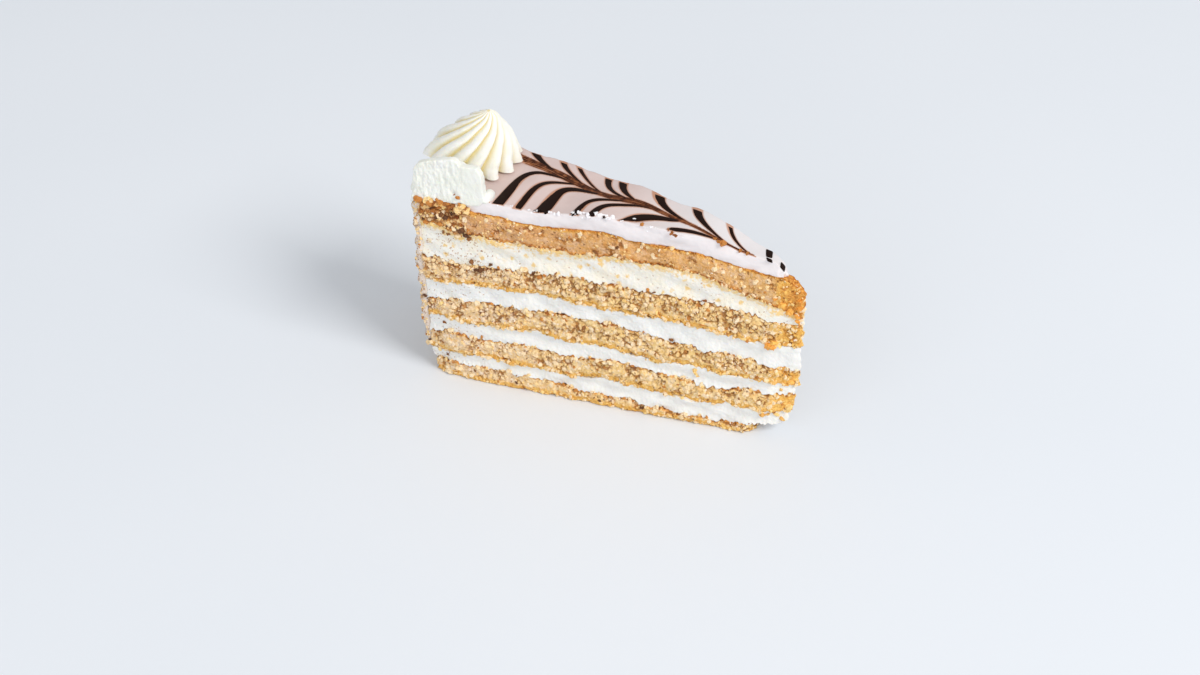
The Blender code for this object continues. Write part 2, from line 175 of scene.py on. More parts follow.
# Bits strewn over the cut faces. Each layer says how thickly it has each of the first five kinds.
STREWN = ("skins", "browned", "golden", "pale", "matrix")
STREWN_BITS = (  # name, kind, bits for each square millimetre, smallest, largest, flatness
    ("nut_skin_flecks", "skins", 0.22, 0.3, 1.1, 0.4),
    ("browned_crumbs", "browned", 0.24, 0.4, 1.5, 0.6),
    ("golden_crumbs", "golden", 0.22, 0.4, 1.6, 0.6),
    ("pale_nut_chips", "pale", 0.14, 0.4, 1.1, 0.5),
    ("sponge_crumbs", "matrix", 0.42, 0.7, 2.2, 0.6),
    ("sugar_crumbs", "flakes", 0.5, 0.3, 1.1, 0.35),
)
STREWN_SHAPE = {"Lift": -0.12 * MM, "Unevenness": 0.8 * MM, "Lumps per metre": 1 / (0.5 * MM), "Facets": 1}
STREWN_SEED = 11
LAID_SHAPE = {"Unevenness": 1.6 * MM, "Lumps per metre": 1 / (0.8 * MM), "Facets": 3}
LAID_SEED = 31

# Feathered chocolate lines
SPINE = (  # the line along which the rings were dragged, as s and y
    (14.5, 26.0, 38.0, 50.0, 63.0, 74.0, 86.0, 97.0),
    (-3.0, -3.5, -0.7, 1.2, 1.1, 4.6, 8.0, 11.0),
)
SPINE_START = 97.0
SPINE_END = 14.5
SPINE_WIDTHS = (3.0, 0.6)
# Rings: s at the cut, drag, reach of the drag, width, length left bare at the cut, share that widens
NEAR_RINGS = (
    (90.4, 14.8, 2.8, 3.3, 0.0, 0.0),
    (84.7, 12.8, 4.1, 2.3, 0.0, 0.0),
    (77.3, 16.6, 2.0, 4.2, 0.0, 0.0),
    (67.5, 13.6, 2.4, 2.5, 0.0, 0.0),
    (62.6, 18.9, 2.3, 2.3, 0.0, 0.0),
    (61.6, 24.0, 8.4, 3.9, 3.0, 0.3),
    (44.6, 20.1, 4.2, 2.0, 3.8, 0.1),
)
FAR_RINGS = (
    (95.2, 16.0, 3.1, 3.0, 0.0, 0.0),
    (84.6, 15.7, 3.4, 2.1, 0.0, 0.0),
    (81.2, 18.8, 5.0, 1.4, 0.0, 0.0),
    (66.8, 13.7, 3.0, 2.6, 0.0, 0.0),
    (62.1, 9.8, 4.1, 3.2, 0.0, 0.0),
    (49.4, 16.2, 2.1, 4.9, 0.0, 0.0),
    (36.9, 16.6, 2.5, 3.4, 0.0, 0.0),
    (27.5, 12.0, 4.6, 1.8, 0.0, 0.0),
)
SPOTS = (  # dark pieces near the tip: corners as s and y
    ((13.3, 2.2), (11.2, 2.5), (10.3, -0.7), (12.0, -1.2)),
    ((11.9, -1.5), (10.0, -1.4), (9.5, -2.6), (10.9, -3.0)),
    ((8.0, 0.8), (6.6, 0.8), (6.1, -1.5), (7.5, -1.7)),
)
SPOT_THICKNESS = 0.28
# From its foot to its top, shares of a spot's outline and thickness
SPOT_PROFILE = ((1.0, -0.15), (1.0, 0.4), (0.86, 0.85), (0.6, 1.0))
SPOT_SIDE = (0.12, 0.88, 5)  # where the points of a side start and end, and their number
SPOT_WIDTH = 2.0
LINE_END_WIDTH = 0.42
NEAR_TAPER = 1.6
FAR_TAPER = 1.3
WIDENING_START = 0.08
LINE_POINTS = 70
LINE_CROWDING = 1.6
TAIL_LENGTH = 18.0
TAIL_POINTS = 24
TAIL_GAP = 0.45
TAIL_CLOSING = 0.8
TAIL_NARROWING = 0.65
STRANDS = 10
STRAND_SEED = 61
STRAND_SHORTENING = (6.0, 34.0)  # at its start and at its end, at most
STRAND_SWAY = 0.25
STRAND_SWAY_LENGTHS = (3.0, 6.0)
STRAND_WIDTHS = (0.18, 0.55)
EDGE_CLEARANCE = {-1: 0.3, 1: 0.9}
OVERSHOOT = 2.0
LINE_FLATNESS = 0.1
LINE_LIFT = 0.06
LINE_SIDES = 14
STAIN_REACH = 0.6
STAIN_STRENGTH = 0.8
SPINE_STAIN_STRENGTH = 0.95
SPINE_STAIN_CORE = 0.7  # share of the spine's width that is stained evenly

# Piped rosettes
LOBES = 13
LOBE_UNEVENNESS = 0.2
WIDE_SIDE = math.radians(-46.9)
POINTS_PER_LOBE = 16
PROFILE_HEIGHTS = (0.0, 0.1, 0.22, 0.36, 0.5, 0.64, 0.77, 0.88, 0.96, 1.0)
CONE_RADII = (1.0, 0.99, 0.94, 0.84, 0.71, 0.56, 0.4, 0.25, 0.12, 0.04)
DOME_RADII = (0.97, 1.0, 0.99, 0.95, 0.9, 0.83, 0.71, 0.52, 0.3, 0.06)
ROSETTE_RINGS = 110
GROOVE_DEPTH = 0.25
FOOT_FLARE = 0.07
FOOT_FLARE_HEIGHT = 0.16
GROOVE_SHARPNESS = 1.2
TWIST = math.radians(75.0)
TWIST_BUILD_UP = 2.0
LEAN_BUILD_UP = 1.5
ROSETTE_UNEVENNESS = 1.1
ROSETTE_SINKS_IN = 0.5
WHOLE_ROSETTE = {
    "s": 108.4, "y": 4.8, "radius": 14.3, "height": 15.9, "radii": CONE_RADII, "lean": (5.2, 1.6),
    "phase": 0.12,
}
CUT_ROSETTE = {
    "s": 105.2, "y": -18.6, "radius": 11.2, "height": 11.0, "radii": DOME_RADII, "lean": (-2.0, 0.0),
    "phase": 0.4,
}
SECTION = (  # outline of the halved rosette on the cut, as s and z
    (116.6, 64.4), (116.0, 68.2), (115.7, 72.0), (115.3, 76.2), (114.2, 77.9), (110.6, 79.4), (107.1, 80.2),
    (104.1, 80.9), (102.4, 80.6), (101.4, 78.9), (99.0, 79.0), (96.3, 78.9), (94.9, 76.6), (94.5, 71.4),
    (94.2, 68.3), (95.6, 66.5), (98.7, 66.0), (101.4, 66.6), (104.8, 65.9), (107.6, 66.3), (110.9, 65.2),
    (113.8, 65.9),
)
SECTION_DEPTH = 1.9
SECTION_STANDS_OUT = 0.75
SECTION_LEANS_BACK = (68.0, 74.0)
SECTION_LEAN = 0.6
SMOOTH_CREAM = 0.25
SMOOTH_TO = 98.5
SMOOTH_EASE = 5.0
ROUGH_FACING = (0.2, 0.5)  # how squarely rough cream faces the cut: where it starts, over what range
CREAM_DABS = (  # cream that fills in round the halved rosette, as s, y, z and the radii
    (94.4, -12.9, 68.0, (1.8, 3.0, 2.0)),
    (101.0, -11.2, 71.0, (3.6, 3.8, 4.4)),
)
CREAM_VOXEL = 0.27

# Larger crumbs on the near cut, each as s, z and size
DARK_LUMPS = (
    (107.7, 61.2, 1.9), (106.3, 60.4, 1.7), (109.0, 60.3, 1.3), (110.2, 63.0, 1.4), (104.6, 62.0, 1.3),
    (102.8, 57.2, 1.4), (101.5, 56.6, 2.2), (100.4, 55.0, 2.1), (99.5, 53.9, 1.5), (107.5, 54.8, 1.0),
    (105.9, 54.3, 1.1), (103.5, 54.1, 1.0), (98.2, 56.1, 1.1), (113.4, 58.6, 1.0), (105.8, 57.6, 0.9),
    (98.9, 45.4, 1.6), (96.4, 43.2, 2.0), (97.6, 43.0, 1.2), (93.0, 45.8, 1.0), (91.2, 44.3, 1.0),
    (79.8, 45.0, 1.3), (73.1, 46.3, 1.0), (68.0, 46.2, 0.9), (54.5, 59.6, 1.1), (60.7, 56.3, 1.4),
    (46.9, 45.2, 1.0), (43.3, 45.6, 0.9), (64.4, 28.3, 1.4), (37.6, 29.3, 1.0), (48.7, 16.6, 1.2),
    (86.2, 2.2, 1.3), (59.2, 1.6, 1.1), (45.7, 2.1, 1.1), (29.5, 1.6, 1.1), (115.4, 28.7, 1.2),
    (109.2, 20.0, 1.4), (111.4, 15.2, 1.2), (114.8, 11.4, 1.0), (109.2, 7.0, 1.0), (99.6, 3.8, 1.0),
)
ORANGE_LUMPS = (
    (110.0, 62.4, 2.3), (108.6, 64.0, 2.0), (106.0, 62.8, 1.8), (112.6, 57.6, 1.7), (113.8, 61.6, 1.8),
    (103.1, 60.6, 1.5), (101.4, 64.2, 2.6), (103.4, 64.0, 1.8), (99.6, 57.0, 1.3), (101.9, 58.4, 1.2),
    (78.0, 44.3, 1.7), (76.4, 45.0, 1.1), (46.0, 30.5, 1.0), (88.0, 44.6, 1.0), (28.4, 45.3, 1.0),
)
TIP_LUMPS = (
    (8.2, 33.6, 3.2), (7.2, 34.6, 2.6), (9.2, 32.4, 1.8), (0.9, 47.8, 2.2), (1.6, 45.0, 2.2),
    (5.9, 48.2, 2.0), (3.7, 46.2, 2.0), (1.0, 50.2, 1.8), (8.0, 50.4, 1.6), (1.0, 42.8, 1.6),
    (1.8, 20.6, 2.2), (3.4, 19.4, 1.5),
)
PALE_LUMPS = (
    (13.0, 15.8, 1.4), (9.0, 7.5, 1.9), (7.6, 7.9, 1.2), (5.1, 7.9, 1.7), (1.9, 10.8, 1.9), (3.5, 6.2, 1.4),
    (4.4, 17.4, 1.6), (30.4, 19.7, 1.5), (29.9, 18.2, 1.2), (29.4, 17.3, 0.9), (107.9, 65.1, 2.3),
    (107.0, 63.6, 1.4), (3.0, 49.0, 1.4), (6.2, 20.2, 1.2), (52.0, 41.0, 1.1), (63.0, 42.5, 1.1),
)
# Crumbs and torn sugar lying on the glaze, each as s, y and size
TOP_CRUMBS = (
    (47.8, -7.5, 1.1), (25.3, -4.4, 1.5), (40.0, -6.8, 1.0), (37.1, -8.6, 1.2), (26.7, -3.9, 1.1),
    (24.0, -4.3, 1.6), (19.0, -3.6, 1.2), (16.9, -3.0, 1.0), (38.6, -7.6, 0.9), (96.6, -14.6, 1.0),
    (101.5, -16.4, 1.4), (93.3, -14.3, 1.0),
)
SUGAR_FLAKES = (
    (68.0, -10.3, 1.7), (66.2, -9.9, 1.9), (63.2, -10.9, 2.0), (61.6, -9.4, 1.7), (59.8, -9.5, 1.8),
    (57.3, -9.8, 1.6), (67.2, -11.0, 1.3), (56.7, -8.6, 1.4), (64.8, -9.7, 1.4), (58.4, -8.8, 1.2),
    (72.3, -11.4, 1.3), (75.0, -11.7, 1.1), (79.2, -12.4, 1.2), (81.4, -12.7, 1.0), (50.6, -6.3, 1.1),
    (86.5, -13.4, 1.1), (45.0, -7.4, 0.9),
)
CHOCOLATE_BITS = (
    (67.5, -11.2, 1.4), (62.0, -10.3, 1.3), (77.7, -12.2, 2.0), (75.9, -12.0, 1.4), (84.5, -13.2, 1.3),
    (79.3, -12.6, 1.1), (58.5, -9.9, 0.9),
)

# Broken crumbs along the top edge near the rim, where the glaze doesn't show
BROKEN_EDGE = (99.5, 114.0)
BROKEN_EDGE_Z = 64.9
BROKEN_EDGE_BACKING_Z = 63.5
BROKEN_EDGE_OUT = (0.1, 0.7)
BROKEN_EDGE_UP = (-1.2, 1.3)
BROKEN_EDGE_COUNT = 30
BROKEN_EDGE_SIZES = (1.2, 3.1)
BROKEN_EDGE_SEED = 77
CREAM_CRUMBS = (  # on the halved rosette, as s, y, z and size
    (102.1, -17.4, 68.6, 1.5), (96.5, -15.8, 68.6, 1.2), (94.2, -14.9, 67.0, 0.9),
    (103.0, -17.5, 69.4, 0.7),
)

# Camera: where it looks, from where, and how long its lens is
CAMERA_TARGET = (3.96, -16.06, 30.0)
CAMERA_AZIMUTH = math.radians(24.09)
CAMERA_ELEVATION = math.radians(38.0)
CAMERA_DISTANCE = 593.5
CAMERA_LENS = 60.0
SENSOR_WIDTH = 36.0

# Light and floor, in metres and watts
LIGHTS = (  # name, place, size, power, colour
    ("key", (1.7, -0.5, 1.7), 1.0, 35.6, (1.0, 0.985, 0.96)),
    ("fill", (-0.2, -1.9, 1.0), 1.8, 8.9, (1.0, 1.0, 1.0)),
)
LIT_PLACE = (0.0, 0.0, 0.03)
SKY_COLOUR = (0.97, 0.985, 1.0, 1.0)
SKY_STRENGTH = 0.58
FLOOR_SIZE = 6.0
FLOOR_DROP = 0.0002


def smooth_through(places, values, x):
    """A smooth curve through the given values, flat beyond its ends."""
    places, values = np.asarray(places, float), np.asarray(values, float)
    slopes = np.gradient(values, places)
    x = np.clip(np.asarray(x, float), places[0], places[-1])
    i = np.clip(np.searchsorted(places, x, side="right") - 1, 0, len(places) - 2)
    step = places[i + 1] - places[i]
    t = (x - places[i]) / step
    start = (2 * t**3 - 3 * t**2 + 1) * values[i] + (t**3 - 2 * t**2 + t) * step * slopes[i]
    end = (3 * t**2 - 2 * t**3) * values[i + 1] + (t**3 - t**2) * step * slopes[i + 1]
    return start + end


def ease(x):
    """Rises smoothly from 0 to 1 while x goes from 0 to 1."""
    x = np.clip(x, 0.0, 1.0)
    return x * x * (3 - 2 * x)


def waves(seed, p, q, lengths, count=7):
    """A seeded sum of sine waves over two coordinates, about one unit high."""
    draw = np.random.default_rng(seed)
    total = np.zeros(np.broadcast(p, q).shape)
    for _ in range(count):
        length = draw.uniform(*lengths)
        turn, phase = draw.uniform(0, 2 * math.pi, 2)
        total += np.sin(2 * math.pi * (p * math.cos(turn) + q * math.sin(turn)) / length + phase)
    return total / math.sqrt(count)


def half_width(s):
    """Half the distance between the two cuts, with the tip a little blunt."""
    wedge = TIP_HALF_WIDTH + s * math.tan(HALF_ANGLE)
    return np.hypot(wedge, TIP_BLUNTING * np.exp(-s / BLUNTING_REACH))


def cut_normal(side):
    """The direction that a straight cut face looks in."""
    return Vector((math.sin(HALF_ANGLE), side * math.cos(HALF_ANGLE), 0.0))


def rim_place(y, radius):
    """The s of a circle of this radius round the torte's centre."""
    return np.sqrt(radius**2 - y**2) - APEX_SETBACK


def boundary(number, s, y):
    """Height of a boundary between layers: 0 is the floor and 9 the top of the highest sponge."""
    s, y = np.broadcast_arrays(np.asarray(s, float), np.asarray(y, float))
    if number == 0:
        return np.zeros(s.shape)
    z = sum(smooth_through(PLACES, thickness, s) for _, thickness in LAYERS[:number])
    for where, middle, rise, reach in LUMPS:
        if where == number:
            z = z + rise * np.exp(-(((s - middle) / reach) ** 2))
    calm = 1.0 - ease((s - ROSETTE_BED[0]) / BED_EASE_LENGTH) if number == TOP else 1.0
    return z + calm * UNDULATION * waves(SEEDS["boundary"] + number, s, y, UNDULATION_LENGTHS)


def ragged_boundary(number, s, y):
    """The same boundary with the crumbly edge that it has close by."""
    z = boundary(number, s, y)
    if number == 0:
        return z
    kind = "under_glaze" if number == TOP else ("sponge_top" if number % 2 else "sponge_bottom")
    for band, (amount, lengths) in enumerate(zip(RAG[kind], RAG_LENGTHS)):
        z = z + amount * waves(RAG_SEED + 20 * band + number, s, y, lengths, RAG_WAVES)
    return z


def glaze_top(s, y):
    """Height of the glaze's upper face, which rounds over at the tip."""
    rounding = 1.0 - np.clip((s - TIP_STARTS["glaze"]) / GLAZE_TIP_LENGTH, 0.0, 1.0)
    thickness = smooth_through(PLACES, GLAZE_THICKNESS, s) - GLAZE_TIP_DROP * rounding**2
    return boundary(TOP, s, y) + thickness


def cut_offset(kind, side, seed, s, z, share):
    """How far a cut face stands out from the straight cut: its foot spreads and each layer is craggy."""
    low = 1.0 - np.clip(z / SPREAD_HEIGHT, 0.0, 1.0)
    spread = FOOT_SPREAD[side] * (1.0 - np.clip(s / TUCK_START, 0.0, 1.0))
    tuck = RIM_TUCK * np.clip((s - TUCK_START) / TUCK_LENGTH, 0.0, 1.0) ** TUCK_SHARPNESS
    side_seed = seed + (FAR_SIDE_SEEDS if side > 0 else 0)
    crags = CRAGS * waves(side_seed, s, CRAG_FLATNESS * z, CRAG_LENGTHS)
    calm = ease(s / CALM_TIP_LENGTH)
    return low * (spread * calm - tuck) + calm * (crags + MIDDLE_BULGE[kind] * np.sin(math.pi * share))


def block(cells):
    """The surface of a unit cube cut into cells: its points, and quads between them."""
    along, across, high = (np.arange(n + 1) for n in cells)
    i, j, k = np.meshgrid(along, across, high, indexing="ij")
    outside = (i % cells[0] == 0) | (j % cells[1] == 0) | (k % cells[2] == 0)
    number = np.full(outside.shape, -1)
    number[outside] = np.arange(outside.sum())
    quads = []
    for axis in range(3):
        for end in (0, -1):
            side = np.take(number, end, axis=axis)
            corners = [side[:-1, :-1], side[1:, :-1], side[1:, 1:], side[:-1, 1:]]
            if (end == 0) != (axis == 1):
                corners.reverse()
            quads.append(np.stack([c.ravel() for c in corners], 1))
    points = np.stack([axis[outside] / n for axis, n in zip((i, j, k), cells)])
    return points, np.concatenate(quads)


def to_metres(s, y, z):
    """Mesh points in metres from places on the slice."""
    return np.stack([TIP_X - s, y, z], 1) * MM


def note(mesh, label, values):
    """Keeps one number for each point of a mesh as an attribute."""
    mesh.attributes.new(label, "FLOAT", "POINT").data.foreach_set("value", np.asarray(values, np.float32))


def food_mesh(name, points, faces, attributes):
    """A smooth-shaded mesh with its faces outwards and one number for each point and attribute."""
    mesh = bpy.data.meshes.new(name)
    mesh.from_pydata(points.tolist(), [], faces.tolist())
    for label, values in attributes.items():
        note(mesh, label, values)
    bm = bmesh.new()
    bm.from_mesh(mesh)
    if bm.calc_volume(signed=True) < 0:
        bmesh.ops.reverse_faces(bm, faces=bm.faces)
    bm.to_mesh(mesh)
    bm.free()
    mesh.shade_smooth()
    return mesh


def srgb(code):
    """The linear colour of an sRGB hex value."""
    parts = [int(code[i : i + 2], 16) / 255 for i in (1, 3, 5)]
    return (*(p / 12.92 if p <= 0.04045 else ((p + 0.055) / 1.055) ** 2.4 for p in parts), 1.0)


def feed(tree, socket, value):
    """Sets an input socket to a value, or links it to a socket or to the first output of a node."""
    if isinstance(value, bpy.types.Node):
        value = value.outputs[0]
    if isinstance(value, bpy.types.NodeSocket):
        tree.links.new(value, socket)
    else:
        socket.default_value = value


def add(tree, kind, inputs=None, **settings):
    """Adds a node with its settings. inputs says what feeds each input socket."""
    node = tree.nodes.new(kind)
    for label, value in settings.items():
        setattr(node, label, value)
    for key, value in (inputs or {}).items():
        feed(tree, node.inputs[key], value)
    return node


def wander(tree, place, scale, amount, detail=2.0):
    """A noisy offset for each place, up to half the amount each way. Returns the offset and its noise."""
    noise = add(tree, "ShaderNodeTexNoise", {"Vector": place, "Scale": scale, "Detail": detail})
    centred = add(tree, "ShaderNodeVectorMath", {0: noise.outputs["Color"], 1: (0.5, 0.5, 0.5)},
                  operation="SUBTRACT")
    return add(tree, "ShaderNodeVectorMath", {0: centred, "Scale": amount}, operation="SCALE"), noise


def ragged_place(tree, place, size, amount):
    """A place moved to and fro, so that cells get ragged outlines. Returns the new place and the noise."""
    offset, noise = wander(tree, place, 1 / (size * MM), amount * MM)
    return add(tree, "ShaderNodeVectorMath", {0: place, 1: offset}, operation="ADD"), noise


def geometry_tree(name, **sockets):
    """A new Geometry Nodes tree with named inputs. Returns the tree and its input sockets by name."""
    tree = bpy.data.node_groups.new(name, "GeometryNodeTree")
    tree.interface.new_socket("Geometry", in_out="OUTPUT", socket_type="NodeSocketGeometry")
    kinds = [("Geometry", "Geometry"), *((n, kind) for kind, names in sockets.items() for n in names)]
    for label, kind in (*kinds, ("Material", "Material")):
        tree.interface.new_socket(label, in_out="INPUT", socket_type="NodeSocket" + kind)
    start = tree.nodes.new("NodeGroupInput")
    return tree, {s.name: s for s in start.outputs if s.name}


def close_tree(tree, geometry, material):
    """Ends a tree in realized geometry with its material."""
    real = add(tree, "GeometryNodeRealizeInstances", {0: geometry})
    shaded = add(tree, "GeometryNodeSetShadeSmooth", {0: real})
    dressed = add(tree, "GeometryNodeSetMaterial", {"Geometry": shaded, "Material": material})
    add(tree, "NodeGroupOutput", {0: dressed})
    return tree


def push_out(tree, given, amount, notes):
    """Ends a tree in its surface, moved along its normals where its wall attribute allows, and noted on."""
    wall = add(tree, "GeometryNodeInputNamedAttribute", {"Name": "wall"})
    allowed = add(tree, "ShaderNodeMath", {0: amount, 1: wall}, operation="MULTIPLY")
    normal = add(tree, "GeometryNodeInputNormal")
    offset = add(tree, "ShaderNodeVectorMath", {0: normal, "Scale": allowed}, operation="SCALE")
    geometry = given["Geometry"]
    for label, value in notes.items():
        geometry = add(tree, "GeometryNodeStoreNamedAttribute", {
            "Geometry": geometry, "Name": label, "Value": value,
        })
    moved = add(tree, "GeometryNodeSetPosition", {"Geometry": geometry, "Offset": offset})
    return close_tree(tree, moved, given["Material"])


def numbers_of(items, label, width=1, kind=np.float32):
    """One property of all points, loops or faces, in rows of this width."""
    values = np.empty(width * len(items), kind)
    items.foreach_get(label, values)
    return values.reshape(-1, width) if width > 1 else values


def grow(name, mesh, tree, values):
    """Runs a geometry tree on a mesh and keeps the result, lifted to the floor, as a plain mesh object."""
    piece = bpy.data.objects.new(name, mesh)
    bpy.context.scene.collection.objects.link(piece)
    modifier = piece.modifiers.new("nodes", "NODES")
    modifier.node_group = tree
    for item in tree.interface.items_tree:
        if item.in_out == "INPUT" and item.name in values:
            modifier[item.identifier] = values[item.name]
    shown = piece.evaluated_get(bpy.context.evaluated_depsgraph_get())
    result = bpy.data.meshes.new_from_object(shown)
    piece.modifiers.remove(modifier)
    place = numbers_of(result.vertices, "co", 3)
    place[:, 2] = np.maximum(place[:, 2], 0.0)
    result.vertices.foreach_set("co", place.ravel())
    result.name = name
    piece.data = result
    return piece


def combined(name, pieces, labels):
    """One mesh of several pieces with the named numbers for each point, to strew bits over."""
    points = []
    triangles = []
    values = {label: [] for label in labels}
    first = 0
    for piece in pieces:
        mesh = piece.data
        mesh.calc_loop_triangles()
        points.append(numbers_of(mesh.vertices, "co", 3))
        triangles.append(numbers_of(mesh.loop_triangles, "vertices", 3, np.int32) + first)
        for label in labels:
            if label in mesh.attributes:
                values[label].append(numbers_of(mesh.attributes[label].data, "value"))
            else:
                values[label].append(np.zeros(len(mesh.vertices), np.float32))
        first += len(mesh.vertices)
    mesh = bpy.data.meshes.new(name)
    points = np.concatenate(points)
    triangles = np.concatenate(triangles)
    mesh.vertices.add(len(points))
    mesh.vertices.foreach_set("co", points.ravel())
    mesh.loops.add(triangles.size)
    mesh.loops.foreach_set("vertex_index", triangles.ravel())
    mesh.polygons.add(len(triangles))
    mesh.polygons.foreach_set("loop_start", np.arange(0, triangles.size, 3))
    for label in labels:
        note(mesh, label, np.concatenate(values[label]))
    mesh.update(calc_edges=True)
    return mesh


def relief_tree():
    """Grain and pores: a surface moved along its normals where its wall attribute allows."""
    tree, given = geometry_tree("surface_relief", Float=(
        "Grains per metre", "Grain depth", "Pores per metre", "Pore depth", "Seed",
    ), Vector=("Stretch",))
    here = add(tree, "GeometryNodeInputPosition")
    stretched = add(tree, "ShaderNodeVectorMath", {0: here, 1: given["Stretch"]}, operation="MULTIPLY")
    grain = add(tree, "ShaderNodeTexNoise", {
        "Vector": stretched, "W": given["Seed"], "Scale": given["Grains per metre"], "Detail": 3.0,
        "Roughness": 0.6,
    }, noise_dimensions="4D")
    swing = add(tree, "ShaderNodeMapRange", {"Value": grain, 1: 0.25, 2: 0.75, 3: -1.0, 4: 1.0},
                clamp=False)
    rise = add(tree, "ShaderNodeMath", {0: swing, 1: given["Grain depth"]}, operation="MULTIPLY")
    cells = add(tree, "ShaderNodeTexVoronoi", {
        "Vector": stretched, "W": given["Seed"], "Scale": given["Pores per metre"],
    }, voronoi_dimensions="4D")
    hollow = add(tree, "ShaderNodeMapRange", {"Value": cells, 1: 0.42, 2: 0.1},
                 interpolation_type="SMOOTHSTEP")
    chance = add(tree, "FunctionNodeSeparateColor", {0: cells.outputs["Color"]})
    open_pore = add(tree, "ShaderNodeMath", {0: chance, 1: 0.45}, operation="GREATER_THAN")
    pit = add(tree, "ShaderNodeMath", {0: hollow, 1: open_pore}, operation="MULTIPLY")
    sunk = add(tree, "ShaderNodeMath", {0: pit, 1: given["Pore depth"]}, operation="MULTIPLY")
    total = add(tree, "ShaderNodeMath", {0: rise, 1: sunk}, operation="SUBTRACT")
    return push_out(tree, given, total, {"pit": pit})


def crumb_tree():
    """Broken cake crumb: cells that stand out unevenly from a cut, with cracks between some of them."""
    tree, given = geometry_tree("broken_crumb", Float=(
        "Crumbs per metre", "Crumb rise", "Crack width", "Crack depth", "Calm", "Grain depth", "Seed",
    ))
    here = add(tree, "GeometryNodeInputPosition")
    place, _ = ragged_place(tree, here, 1.5, 2.4)
    pattern = {"Vector": place, "W": given["Seed"], "Scale": given["Crumbs per metre"]}
    cells = add(tree, "ShaderNodeTexVoronoi", pattern, voronoi_dimensions="4D")
    borders = add(tree, "ShaderNodeTexVoronoi", pattern, voronoi_dimensions="4D",
                  feature="DISTANCE_TO_EDGE")
    pick = add(tree, "FunctionNodeSeparateColor", {0: cells.outputs["Color"]})
    # Cracks open where a broad pattern and the broken attribute allow.
    broad = add(tree, "ShaderNodeTexNoise", {
        "Vector": here, "W": given["Seed"], "Scale": 1 / (4.0 * MM), "Detail": 2.0,
    }, noise_dimensions="4D")
    broken = add(tree, "GeometryNodeInputNamedAttribute", {"Name": "broken"})
    loose = add(tree, "ShaderNodeMath", {0: broad, 1: broken}, operation="ADD")
    beyond = add(tree, "ShaderNodeMath", {0: loose, 1: given["Calm"]}, operation="SUBTRACT")
    cracked = add(tree, "ShaderNodeMapRange", {"Value": beyond, 1: 0.0, 2: 0.16})
    line = add(tree, "ShaderNodeMapRange", {"Value": borders, 1: given["Crack width"], 2: 0.0},
               interpolation_type="SMOOTHSTEP")
    crack = add(tree, "ShaderNodeMath", {0: line, 1: cracked}, operation="MULTIPLY")
    sunk = add(tree, "ShaderNodeMath", {0: crack, 1: given["Crack depth"]}, operation="MULTIPLY")
    # Each crumb is domed and stands out or back by its own amount.
    inner = add(tree, "ShaderNodeMapRange", {"Value": borders, 1: 0.0, 2: 0.3},
                interpolation_type="SMOOTHSTEP")
    swing = add(tree, "ShaderNodeMapRange", {"Value": pick, 3: -0.6, 4: 1.0})
    rounding = add(tree, "ShaderNodeMapRange", {"Value": inner, 3: 0.4, 4: 1.0})
    dome = add(tree, "ShaderNodeMath", {0: swing, 1: rounding}, operation="MULTIPLY")
    rise = add(tree, "ShaderNodeMath", {0: dome, 1: given["Crumb rise"]}, operation="MULTIPLY")
    grain = add(tree, "ShaderNodeTexNoise", {
        "Vector": here, "W": given["Seed"], "Scale": 1 / (0.9 * MM), "Detail": 2.0, "Roughness": 0.6,
    }, noise_dimensions="4D")
    rough = add(tree, "ShaderNodeMapRange", {"Value": grain, 1: 0.3, 2: 0.7, 3: -1.0, 4: 1.0}, clamp=False)
    fine = add(tree, "ShaderNodeMath", {0: rough, 1: given["Grain depth"]}, operation="MULTIPLY")
    above = add(tree, "ShaderNodeMath", {0: rise, 1: fine}, operation="ADD")
    total = add(tree, "ShaderNodeMath", {0: above, 1: sunk}, operation="SUBTRACT")
    return push_out(tree, given, total, {"pit": crack, "tone": pick.outputs[1]})


def crumble(tree, given, points, rotation, size):
    """Ends a tree that has points in irregular bits: squashed, turned, sized, shaded and roughened."""
    shape = add(tree, "FunctionNodeRandomValue", {
        0: (0.65, 0.65, 0.7), 1: (1.3, 1.3, 1.1), "Seed": given["Seed"],
    }, data_type="FLOAT_VECTOR")
    squash = add(tree, "ShaderNodeCombineXYZ", {0: 1.0, 1: 1.0, 2: given["Flatness"]})
    flat = add(tree, "ShaderNodeVectorMath", {0: shape, 1: squash}, operation="MULTIPLY")
    scale = add(tree, "ShaderNodeVectorMath", {0: flat, "Scale": size}, operation="SCALE")
    ball = add(tree, "GeometryNodeMeshIcoSphere", {"Radius": 0.5, "Subdivisions": given["Facets"]})
    bits = add(tree, "GeometryNodeInstanceOnPoints", {
        "Points": points, "Instance": ball, "Rotation": rotation, "Scale": scale,
    })
    shade = add(tree, "FunctionNodeRandomValue", {"Seed": given["Seed"]})
    for label in ("shade", "tone"):
        bits = add(tree, "GeometryNodeStoreNamedAttribute", {
            "Geometry": bits, "Name": label, "Value": shade.outputs[1],
        }, domain="INSTANCE")
    real = add(tree, "GeometryNodeRealizeInstances", {0: bits})
    here = add(tree, "GeometryNodeInputPosition")
    offset, _ = wander(tree, here, given["Lumps per metre"], given["Unevenness"], 1.0)
    rough = add(tree, "GeometryNodeSetPosition", {"Geometry": real, "Offset": offset})
    return close_tree(tree, rough, given["Material"])


